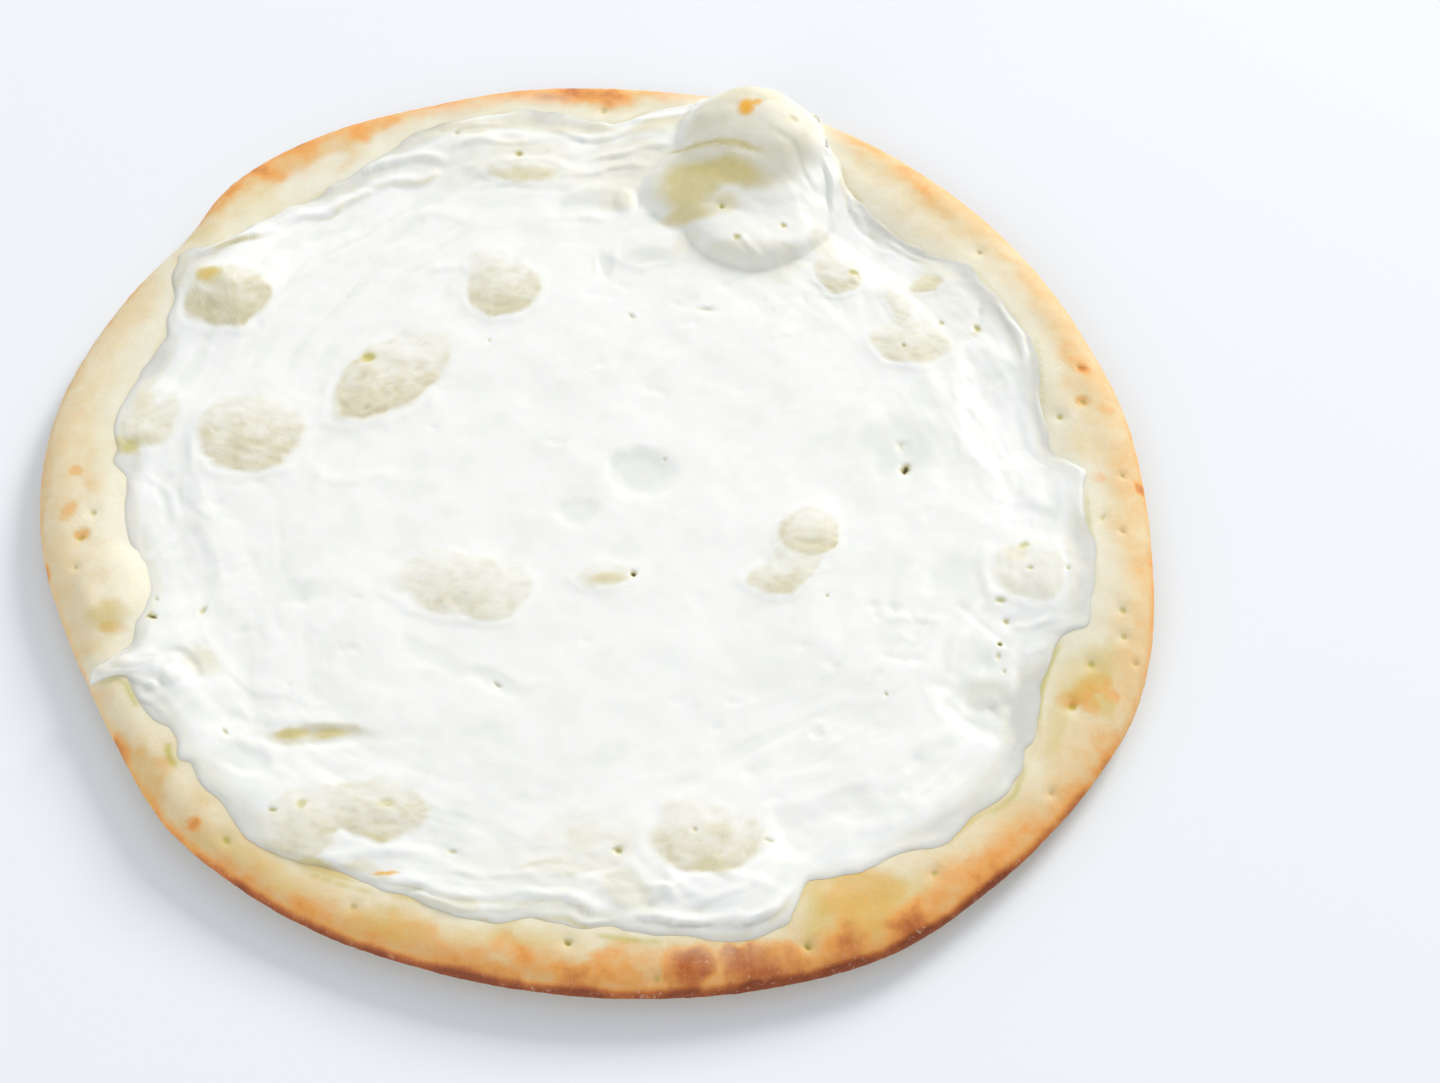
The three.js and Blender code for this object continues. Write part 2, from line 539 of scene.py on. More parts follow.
# the outline of the crust, from the right and on round the far side
CRUST_POINTS: tuple[Point, ...] = (
    (135, -1), (132, 24), (125, 44), (113, 69), (95, 93), (70, 114), (45, 127), (20, 132),
    (0, 134), (-25, 133), (-45, 128), (-70, 120), (-90, 108), (-101, 97), (-108, 79),
    (-117, 68), (-127, 49), (-134, 29), (-136, 9), (-135, -5), (-132, -20), (-124, -40),
    (-115, -58), (-105, -76), (-94, -93), (-80, -105), (-55, -120), (-35, -127), (-8, -133),
    (18, -134.5), (45, -131.5), (70, -124), (88, -111), (106, -94), (118, -79), (127, -65),
    (133, -45), (135, -22),
)

# the low bubbles that the labneh baked thin over
BUBBLES: tuple[Bubble, ...] = (
    Bubble((-95, 57.5), (11.5, 10), proud=1.0, bare=1.2),
    Bubble((-110, 20.5), (8.5, 9.5), proud=0.72, bare=0.7),
    Bubble((-84, 15), (14, 13), proud=0.96, bare=0.9),
    Bubble((-50.5, 33.5), (19, 11.5), turn=46, proud=0.95, bare=0.9),
    Bubble((-56, 27), (9, 8), turn=55, proud=1.0, bare=1.0),
    Bubble((-24, 60), (10.5, 9.5), turn=20, proud=0.9, bare=1.0),
    Bubble((-27, 70), (7.5, 6), turn=-20, proud=0.6, bare=0.5),
    Bubble((-33, -28.5), (13, 10), turn=-6, proud=0.9, bare=0.62),
    Bubble((-23, -31), (10, 8.5), turn=20, proud=0.8, bare=0.55),
    Bubble((4, -27), (7.5, 4), proud=0.3, bare=0.5),
    Bubble((53, -14.5), (7.5, 7), turn=20, proud=0.78, bare=0.95),
    Bubble((46, -27.5), (8, 5.5), turn=25, proud=0.66, bare=0.85),
    Bubble((51, -21), (5, 6), turn=-35, proud=0.48, bare=0.5),
    Bubble((106.3, -25.5), (9.5, 10), proud=0.9, bare=0.5),
    Bubble((-45, -90), (12, 9.5), turn=-5, proud=0.96, bare=0.85),
    Bubble((-60, -92), (10.5, 8.5), turn=10, proud=0.66, bare=0.7),
    Bubble((-62, -97.5), (8, 4.5), turn=-10, proud=0.42, bare=0.7),
    Bubble((1, -98.5), (15, 9.5), turn=12, proud=0.5, bare=0.42),
    Bubble((28.5, -97), (13.5, 9.8), turn=-8, proud=1.0, bare=0.8),
    Bubble((62, 66), (6.5, 6.5), proud=0.72, bare=0.75),
    Bubble((76.5, 58), (4, 7.5), turn=10, proud=0.54, bare=0.6),
    Bubble((80, 44.5), (10, 9), turn=-10, proud=0.5, bare=0.75),
    Bubble((85, 64), (4.6, 3.8), proud=0.3, bare=0.9),
    Bubble((-21, 101), (9.5, 3.2), turn=2, proud=0.42, bare=0.75),
    Bubble((14, 75), (8.5, 7), proud=0.72, bare=0.1),
    Bubble((-73, 100), (5, 3.6), turn=30, proud=0.24, bare=0.4),
)

# the tall double bubble at the far side, as domes that melt together
TALL_BUBBLE: tuple[Bubble, ...] = (
    Bubble((40.5, 108), (19.5, 22), turn=8, proud=9.8, bare=0.42, power=3.6),
    Bubble((35, 98), (20, 17), turn=20, proud=7.0, bare=0.2, power=2.4),
    Bubble((25, 94), (14, 14), turn=10, proud=4.2, bare=0.25, power=3.0),
    Bubble((41, 87), (19.5, 20), turn=-8, proud=4.0, bare=0.1, power=7.0),
    Bubble((46, 92), (16, 15), turn=-15, proud=6.0, bare=0.0, power=2.2),
)

# the bubble that swells the rim at the left
RIM_BUBBLE = Patch((-113, -31), (8, 11), high=1.6)

# the holes that were pricked in the crust
PRICKED_HOLES: tuple[Pit, ...] = (
    Pit((-120, -9.5), 0.9), Pit((-122, -17), 0.8, turn=60, stretch=1.4), Pit((-129, -31.5), 0.7),
    Pit((-122, -25.5), 0.6, 0.4), Pit((116, 20), 0.95, 0.6), Pit((122, 24), 0.8, 0.5),
    Pit((130, 2), 0.7, 0.5), Pit((126.5, -37.7), 0.9, 0.6), Pit((126.2, -44.8), 0.8, 0.5),
    Pit((118, -52), 0.9, 0.65), Pit((112.8, -63.2), 1.0, 0.7), Pit((99, 73), 0.8, 0.45),
    Pit((79, -106), 0.8, 0.55), Pit((50.7, -123.7), 0.9, 0.55, 0.9), Pit((-1.5, -123), 0.9, 0.6, 0.9),
    Pit((18, -131), 0.8, 0.45), Pit((-49, -114), 0.8, 0.4),
    Pit((0, 123.5), 0.8, 0.45, turn=70, stretch=1.5), Pit((124, -11), 0.5, 0.35, turn=55, stretch=2.2),
    Pit((128.4, -15), 0.5, 0.35), Pit((122, 35), 0.5, 0.35), Pit((128.5, -51.7), 0.4, 0.5),
    Pit((-107.5, -84), 0.6, 0.4), Pit((-78.5, -98), 0.9, 0.7, turn=-50, stretch=1.3),
    Pit((106.3, -85.5), 0.7, 0.3), Pit((-116.5, -57.2), 1.2, 0.6, 0.5),
)

# where the crust baked browner
BROWNED_PATCHES: tuple[Patch, ...] = (
    # far left
    Patch((-101.5, 94.5), (7.5, 16), turn=-34, strength=0.54),
    Patch((-86, 107), (20, 9), turn=36, strength=0.58),
    Patch((-74, 108), (14, 8), turn=30, strength=0.42),
    Patch((-66, 118), (17, 7), turn=24, strength=0.56),
    Patch((-40, 127), (20, 6), turn=12, strength=0.52),
    Patch((-6, 130), (20, 5.5), strength=0.7),
    Patch((-30, 130), (30, 5.5), turn=7, strength=0.6),
    Patch((20, 129.5), (16, 4.5), turn=-5, strength=0.52),
    # far right
    Patch((68, 114), (14, 6), turn=-35, strength=0.52),
    Patch((88, 96), (17, 7), turn=-45, strength=0.46),
    Patch((92, 86), (3, 2.5), strength=0.4),
    Patch((107, 74), (12, 4), turn=-55, strength=0.4),
    Patch((116, 52), (9, 6), turn=-65, strength=0.38),
    Patch((122, 38), (9, 5), turn=-70, strength=0.46),
    Patch((129, 22), (9, 3.5), turn=-75, strength=0.4),
    Patch((123, 34.5), (2.2, 1.8), strength=0.66),
    Patch((122, 24.5), (2.5, 2), strength=0.5),
    Patch((128, 22), (2.6, 1.8), strength=0.6),
    Patch((124, 1), (2.5, 2), strength=0.55),
    Patch((134, -1), (2, 3), strength=0.6),
    # near right
    Patch((112, -61.5), (3.6, 2.6), strength=0.62),
    Patch((118.8, -57.5), (4.5, 3), turn=20, strength=0.64),
    Patch((116.5, -61.5), (2.6, 5), turn=30, strength=0.58),
    Patch((122, -60.5), (3, 2.6), strength=0.56),
    Patch((121, -74), (7, 4), turn=60, strength=0.5),
    Patch((111, -87), (9, 6), turn=50, strength=0.54),
    Patch((99, -99), (10, 6), turn=45, strength=0.58),
    Patch((90, -104), (5, 4), strength=0.62),
    Patch((94, -109), (8.5, 5), turn=45, strength=0.78),
    Patch((80, -114), (14, 6), turn=30, strength=0.66),
    Patch((62, -122), (13, 6), turn=20, strength=0.7),
    Patch((43, -128), (12, 6), turn=5, strength=0.8),
    Patch((62, -112), (13, 8.5), turn=22, strength=0.55),
    Patch((36, -127), (6, 4.5), turn=20, strength=0.84),
    Patch((25, -129), (7, 6), turn=50, strength=0.84),
    Patch((15, -127), (9, 4), turn=-10, strength=0.56),
    Patch((9, -129.5), (7, 4.5), turn=-15, strength=0.68),
    Patch((-2, -130.5), (8, 4), strength=0.64),
    Patch((-14, -124), (7, 3.5), strength=0.54),
    Patch((-20, -130), (12, 4), turn=-10, strength=0.66),
    Patch((-36, -121), (9, 5), turn=-20, strength=0.5),
    Patch((-49, -121.5), (13, 4), turn=-25, strength=0.58),
    Patch((-71, -112), (12, 5), turn=-35, strength=0.62),
    Patch((-86, -101), (10, 4), turn=-45, strength=0.46),
    Patch((-99, -84), (5, 10), turn=30, strength=0.5),
    Patch((-86, -94), (2.2, 2.4), strength=0.6),
    Patch((-107, -76), (5.5, 7.5), turn=30, strength=0.6),
    Patch((-118, -56), (3, 9), turn=25, strength=0.6),
    Patch((-97.5, -80), (4.5, 7), turn=35, strength=0.5),
    # left
    Patch((-121, 3.5), (5, 9), strength=0.26),
    Patch((-131, -26), (3, 4), strength=0.64),
    Patch((-128, -37), (2, 6), turn=25, strength=0.52),
    Patch((-110.5, -42.5), (4, 1.6), strength=0.5),
    Patch((-122, -16), (2.5, 2), strength=0.5),
    Patch((-126, -9), (2.2, 4), turn=-20, strength=0.42),
    Patch((-126, 3), (2.4, 2), strength=0.42),
    Patch((-134, -2), (3, 24), strength=0.34),
    Patch((-121, 61), (3, 5), turn=-30, strength=0.48),
    Patch((-125, 52), (2.5, 3), strength=0.42),
    Patch((-131, 34), (2.5, 8), turn=-15, strength=0.34),
)

# where oil and whey soaked into the crust
OILED_PATCHES: tuple[Patch, ...] = (
    Patch((62, -112), (12.5, 8), turn=22, strength=0.6),
    Patch((53, -115), (4.5, 7), turn=-15, strength=0.7),
    Patch((-111, -39.5), (6, 3.5), strength=0.6),
    Patch((-104, 78), (5, 3), turn=25, strength=0.6),
    Patch((-98, -80), (5, 6), strength=0.2),
    Patch((-72, -103), (15, 3), turn=-30, strength=0.4),
    Patch((-40, -119), (9, 4), turn=-15, strength=0.45),
    Patch((115, -54), (10, 7), turn=15, strength=0.62),
    Patch((108, -66), (4, 9), turn=-5, strength=0.62),
    Patch((120, -62), (3, 3), strength=0.6),
    Patch((119, -34), (4, 9), turn=-15, strength=0.35),
    Patch((-122, 15), (4, 12), strength=0.25),
    Patch((-117, 12), (3.5, 3), strength=0.5),
    Patch((118, 8), (4, 7), turn=-30, strength=0.25),
    Patch((-12, -121), (14, 2.5), turn=-3, strength=0.35),
    Patch((-88, 88), (12, 5), turn=38, strength=0.35),
)

# the oily green lines where the labneh ends on the crust
CONTACT_LINES: tuple[Fold, ...] = (
    stroke(((112, -44.5), (109.2, -49.5), (106.8, -56), (105.2, -62.5), (104.4, -73)), 1.5, 0.75),
    stroke(((-106, -57.5), (-104.6, -60.5), (-102, -65)), 1.3, 0.6),
    stroke(((-94.2, -73), (-93.4, -77.5), (-91, -80)), 1.5, 0.8),
    stroke(((-112.5, -57.6), (-108.5, -56.6), (-105, -58.5)), 1.2, 0.5),
    stroke(((121, -4), (120.6, -12), (121.3, -22)), 1.1, 0.4),
    stroke(((111.5, 46), (112.3, 34), (112, 22)), 1.1, 0.35),
    stroke(((101, -77), (98, -86), (91, -91.5)), 1.4, 0.55),
    stroke(((-62, -105), (-52, -108.5), (-44, -111)), 1.2, 0.45),
    stroke(((4, -121.2), (11, -122.2), (20, -123)), 1.2, 0.55),
)

# where a film of labneh was smeared on the crust
SMEARED_PATCHES: tuple[Patch, ...] = (
    Patch((117, -45), (5, 8), turn=-30, strength=0.5),
    Patch((121.5, -28), (3, 12), strength=0.35),
    Patch((-74, 101), (12, 5), turn=38, strength=0.7),
    Patch((-58, 113), (8, 4), turn=30, strength=0.6),
    Patch((-108, 70), (4, 8), strength=0.5),
    Patch((104, 62), (4, 12), turn=30, strength=0.4),
    Patch((-113, -52), (5, 4), strength=0.4),
)


@dataclass
class Dough:
    """The heights of the round of dough, which the bread and the labneh both follow.

    Attributes:
        outline: The outline of the crust.
        floor: The height of the pressed middle's top.
        rim_top: The height of the rim's crest.
        rim_middle: The height at which the rim sticks out the furthest.
        slope_start: Where the rim starts to rise, as a share of the outline's radius.
        crest: Where it is at its highest.
        rounding_start: Where its outer side starts to round over.
        curl_start: Where the underside leaves the table.
        curl_lift: How far the rim's underside is off the table.
        front_lift: How much further it is at the front.
        swell: The height of the wide unevenness in the top.
        bumps: The height of the narrow unevenness in the top.
    """

    outline: Outline
    floor: float = 5.0
    rim_top: float = 9.2
    rim_middle: float = 5.0
    slope_start: float = 0.74
    crest: float = 0.9
    rounding_start: float = 0.94
    curl_start: float = 0.8
    curl_lift: float = 2.6
    front_lift: float = 2.4
    swell: float = 0.5
    bumps: float = 0.07

    def rounding(self, share: np.ndarray) -> np.ndarray:
        """A quarter circle's height: 1 up to the rounding, then down to 0 outside."""
        passed = np.clip((share - self.rounding_start) / (1 - self.rounding_start), 0, 1)
        return np.sqrt(1 - passed**2)

    def rim_wave(self, bearing: np.ndarray) -> np.ndarray:
        """How the rim rises and falls along its length."""
        return (0.4 * np.sin(2 * bearing + 0.5) + 0.5 * np.sin(5 * bearing + 2.1)
                + 0.35 * np.sin(9 * bearing + 4.0))

    def plain_top(self, flat: np.ndarray) -> np.ndarray:
        """The top of the dough without bubbles.

        Args:
            flat: Rows of x, y.

        Returns:
            One height in millimetres for each row.
        """
        share = self.outline.share(flat)
        bearing = np.arctan2(flat[:, 1], flat[:, 0])
        rise = smoothstep(self.slope_start, self.crest, share)
        top = self.floor + (self.rim_top + self.rim_wave(bearing) - self.floor) * rise
        ground = on_table(flat)
        top += (self.swell * fractal(ground, 26.0, 3, seed=1)
                + self.bumps * fractal(ground, 7.0, 2, seed=2))
        return self.rim_middle + (top - self.rim_middle) * self.rounding(share)

    def under(self, flat: np.ndarray) -> np.ndarray:
        """The underside, flat on the table and curled up at the rim, more so at the front.

        Args:
            flat: Rows of x, y.

        Returns:
            One height in millimetres for each row.
        """
        share = self.outline.share(flat)
        front = smoothstep(-40, -120, flat[:, 1])
        lift = (self.curl_lift + self.front_lift * front) * smoothstep(self.curl_start, 1, share)
        return self.rim_middle + (lift - self.rim_middle) * self.rounding(share)


@dataclass
class Flatbread:
    """The round of dough: pressed middle, raised rim, pricked holes and browned crust.

    Attributes:
        dough: The heights that the bread follows.
        labneh_edge: The outline of the labneh, which leaves oil and smears beside it.
        bearings: How many vertices there are round the rim.
        rim_steps: How many rings there are from under the labneh's edge to the rounding.
        round_steps: How many rings each half of the rounding has.
        under_steps: How many rings the curl has underneath.
        core_share: Where the rings start, as a share of the outline's radius.
        hidden_to: How far out the labneh surely covers the bread.
        hidden_steps: How many rings there are in the covered middle, and underneath it.
        refined_reach: How far round a pricked hole the mesh is finer.
        dimple: How deep the dough is pulled down round a pricked hole.
        crumb_size: How far apart the crust's smallest humps are.
        crumb_height: Their height where the crust is pale.
        crust_height: How much higher they are where it is browned.
        drawn_mark: Marks with half widths up to this keep the place and shape they are given.
        under_bake: How brown the underside is at least.
        piece: The finished bread.
    """

    dough: Dough
    labneh_edge: Outline
    bearings: int = 760
    rim_steps: int = 52
    round_steps: int = 14
    under_steps: int = 16
    core_share: float = 0.1
    hidden_to: float = 0.76
    hidden_steps: int = 8
    refined_reach: float = 2.2
    dimple: float = 0.3
    crumb_size: float = 2.4
    crumb_height: float = 0.02
    crust_height: float = 0.13
    drawn_mark: float = 3.4
    under_bake: float = 0.2
    piece: bpy.types.Object = field(init=False)

    def bands(self) -> list[tuple[float, int, float]]:
        """The profile from near the middle of the top, round the rim, to the underside.

        Returns:
            For each band, the share of the outline's radius where it ends, how many rings are
            cut into it, and 1 on top or 0 underneath.
        """
        turn = np.linspace(0.0, math.pi / 2, self.round_steps + 1)
        rounded = self.dough.rounding_start + (1 - self.dough.rounding_start) * np.sin(turn)
        over = [(self.hidden_to, self.hidden_steps, 1.0),
                (self.dough.rounding_start, self.rim_steps, 1.0)]
        over += [(float(share), 0, 1.0) for share in rounded[1:]]
        under = [(float(share), 0, 0.0) for share in rounded[-2::-1]]
        return over + under + [(self.dough.curl_start, self.under_steps, 0.0),
                               (self.core_share, self.hidden_steps, 0.0)]

    def build(self) -> bpy.types.Object:
        """Makes the bread's mesh.

        Returns:
            The bread, in metres.
        """
        work = bmesh.new()
        upper = work.verts.layers.float.new("upper")
        bmesh.ops.create_circle(work, cap_ends=True, cap_tris=True, segments=self.bearings,
                                radius=self.core_share)
        for vert in work.verts:
            vert[upper] = 1.0
        rim = [edge for edge in work.edges if edge.is_boundary]
        for share, cuts, level in self.bands():
            def move(vert: bmesh.types.BMVert) -> None:
                """Puts a vertex on the band's end."""
                vert.co.xy = vert.co.xy.normalized() * share
                vert[upper] = level
            rim = grow_band(work, rim, cuts, move)
        close_rim(work, rim, upper)
        stretch_to(work, self.dough.outline)
        holes = [pit.centre for pit in PRICKED_HOLES]
        refine_near(work, holes, self.refined_reach, upper, cuts=1)
        self.piece = finish_piece("baked_flatbread", work)
        self._sculpt()
        return self.piece

    def _sculpt(self) -> None:
        """Gives the mesh its heights, relief and painted attributes."""
        mesh = self.piece.data
        places = place_array(mesh)
        upper = float_array(mesh, "upper")
        flat = places[:, :2]
        share = self.dough.outline.share(flat)
        top = self.dough.plain_top(flat)
        places[:, 2] = np.where(upper > 0.5, top, self.dough.under(flat))
        uneven = fractal(places, 11.0, 3, seed=3)
        places[:, 2] += upper * RIM_BUBBLE.high * RIM_BUBBLE.cover(flat, 0.2 * uneven)
        bake, oil = self._bake(places, upper, share, uneven)
        for pit in PRICKED_HOLES:
            reach = pit.reach(flat)
            places[:, 2] -= upper * (pit.deep * smoothstep(1.4, 0.3, reach)
                                     + self.dimple * smoothstep(3.6, 1.0, reach))
        set_places(mesh, places)
        rough = smoothstep(0.9, 1.0, share) * (0.3 + 0.7 * bake) + 0.2 * bake
        crumb = fractal(places, self.crumb_size, 2, seed=5)
        raised = crumb * (self.crumb_height + self.crust_height * rough)
        places += normal_array(mesh) * raised[:, None]
        set_places(mesh, places * METRES_PER_MM)
        paint(mesh, "bake", bake)
        paint(mesh, "oil", oil)
        paint(mesh, "smear", upper * self._smear(flat))
        paint(mesh, "pit", self._pit_stain(flat, upper))

    def _bake(self, places: np.ndarray, upper: np.ndarray, share: np.ndarray,
              uneven: np.ndarray) -> tuple[np.ndarray, np.ndarray]:
        """Works out how brown and how oily the crust is at each vertex.

        Args:
            places: Rows of x, y, z in millimetres.
            upper: 1 on the top and 0 underneath.
            share: The share of the outline's radius.
            uneven: Noise with humps about 11 mm apart.

        Returns:
            The browning and the oil, each from 0 to 1.
        """
        flat = places[:, :2]
        bent = warped(warped(flat, 2.2, 10.0, seed=6), 1.2, 4.0, seed=9)
        front = smoothstep(-70, -125, flat[:, 1])
        near = smoothstep(-78, -116, flat[:, 1])
        outer = smoothstep(0.88, 0.98, share)
        right = smoothstep(-20, 100, flat[:, 0])
        # browner along the rim, towards the eater and at the right
        bake = 0.04 + (0.08 + 0.12 * near) * uneven + 0.06 * right
        bake += (0.18 + 0.07 * right + 0.28 * near) * outer
        for patch in BROWNED_PATCHES:
            where = bent if min(patch.half) > self.drawn_mark else flat
            bake = np.maximum(bake, patch.cover(where, 0.6 * uneven) * (0.92 + 0.3 * uneven))
        side = smoothstep(0.985, 1.0, share)
        bake += side * (0.14 + 0.34 * front)
        # the underside is pale, with the spots that an oven floor leaves
        spots = smoothstep(0.05, 0.5, fractal(places, 24.0, 3, seed=4))
        below = (0.2 + 0.5 * spots) * smoothstep(1.02, 0.9, share) + (0.3 + 0.3 * front) * side
        oil = upper * self._oil(flat, bent, uneven)
        return np.where(upper > 0.5, bake, np.maximum(below, self.under_bake)), oil

    def _oil(self, flat: np.ndarray, bent: np.ndarray, uneven: np.ndarray) -> np.ndarray:
        """How oily the crust is: in patches, and in a line along parts of the labneh's edge.

        Args:
            flat: Rows of x, y.
            bent: The same places, bent about.
            uneven: Noise with humps about 11 mm apart.

        Returns:
            One value from 0 to 1 for each row.
        """
        oil = np.zeros(len(flat))
        for patch in OILED_PATCHES:
            oil = np.maximum(oil, patch.cover(bent, uneven))
        parts = smoothstep(-0.15, 0.4, fractal(on_table(flat), 16.0, 2, seed=7))
        beyond = self.labneh_edge.share(flat) - 1.0
        line = smoothstep(0.011, 0.003, beyond) * (0.15 + 0.6 * parts)
        haze = 0.14 * smoothstep(0.06, 0.0, beyond)
        return np.maximum(oil, np.maximum(line, haze))

    def _smear(self, flat: np.ndarray) -> np.ndarray:
        """How much of a labneh film lies on the crust: beside the labneh and in patches.

        Args:
            flat: Rows of x, y.

        Returns:
            One value for each row, 0 for bare crust.
        """
        uneven = fractal(on_table(flat), 8.0, 2, seed=8)
        beyond = self.labneh_edge.share(flat) - 1.0 + 0.02 * uneven
        far = smoothstep(-90, -40, flat[:, 1])
        smear = (0.15 + 0.5 * far + 0.3 * uneven) * smoothstep(0.08, 0.0, beyond)
        for patch in SMEARED_PATCHES:
            smear = np.maximum(smear, patch.cover(warped(flat, 2.0, 9.0, seed=9), 0.8 * uneven))
        return smear

    def _pit_stain(self, flat: np.ndarray, upper: np.ndarray) -> np.ndarray:
        """How dark the pricked holes and the oily lines beside the labneh are.

        Args:
            flat: Rows of x, y.
            upper: 1 on the top and 0 underneath.

        Returns:
            One value from 0 to 1 for each row.
        """
        stain = np.zeros(len(flat))
        for pit in PRICKED_HOLES:
            stain = np.maximum(stain, pit.stain * smoothstep(1.3, 0.4, pit.reach(flat)))
        for line in CONTACT_LINES:
            stain = np.maximum(stain, line.rise(flat, np.zeros(len(flat))))
        return stain * upper


# ---------------------------------------------------------------------------
# The labneh
# ---------------------------------------------------------------------------

# the ragged edge of the labneh, clockwise from the far left
LABNEH_POINTS: tuple[Point, ...] = (
    # far left, along the raised border
    (-110, 67.5), (-110.5, 72), (-106, 74.5), (-101, 74), (-98, 76), (-93, 80), (-86, 85),
    (-81, 89), (-74, 94), (-69, 98.5), (-64, 102.5), (-60, 106), (-56, 110), (-52, 114),
    (-48, 117), (-44, 119), (-34, 120.5), (-27, 122), (-20, 123), (-13, 122), (-8, 120),
    (-3, 118.5), (2, 118), (6, 119.5), (10, 122), (18, 124), (28, 126.5),
    # round the tall bubble
    (36, 128.5), (45, 127.5), (53, 123), (58, 116.5), (60.5, 110), (63, 102), (65, 95),
    (70, 87.5), (75, 82), (80, 77), (87, 72.5), (96, 68),
    # right
    (100, 61), (104, 54), (108, 48), (110, 41), (111, 34), (110.5, 28), (111, 20), (112, 12),
    (114, 7.5), (118, 5), (120.5, 2.5), (120, -4), (119, -10), (119.5, -15), (120.5, -20),
    (120.5, -28), (119.5, -35), (117, -41.5), (111, -44), (108.5, -49.5), (106, -56),
    (104.3, -62.5), (103.5, -72.5), (100, -75), (99.5, -80.5), (96, -86.5), (91, -90),
    (86, -94), (82, -98.5), (72, -101), (62.5, -105), (56.5, -107), (51, -107.5),
    # near
    (48.8, -112.5), (46, -119), (42, -121.5), (38.5, -122.5), (31, -123), (23.5, -122),
    (16, -121.5), (11, -121), (8, -119.5), (3, -120), (-3, -118.5), (-11, -118), (-18, -118.5),
    (-26.5, -117.5), (-32, -114), (-38, -112), (-46, -109.5), (-50.5, -107.5), (-57, -105.5),
    (-63, -103.5), (-69, -100.5), (-73.5, -98), (-77, -94.5), (-80, -90.5), (-84, -86.5),
    (-86.8, -83), (-88.6, -79.5), (-91.3, -78), (-92.3, -75.8), (-93, -72.6),
    # near left, with the tongue over the rim
    (-95.3, -69.6), (-98, -68.5), (-100.2, -66.5), (-103, -62.5), (-105, -58), (-106.5, -55.8),
    (-109, -55.6), (-112, -56.6), (-114.5, -57.6), (-115.8, -57), (-115.8, -54.8),
    (-113.5, -52.2), (-110.6, -50.6), (-108.2, -49), (-107, -47), (-106.6, -43.5),
    (-105, -37.5), (-105, -32.5),
    (-107, -26.5), (-110.5, -19.5), (-113, -8.5), (-115, 2.5), (-118, 5.5), (-117, 10),
    (-119, 16), (-117, 28), (-113, 37.5), (-110, 45.5), (-109, 53.5), (-109, 59.5),
)

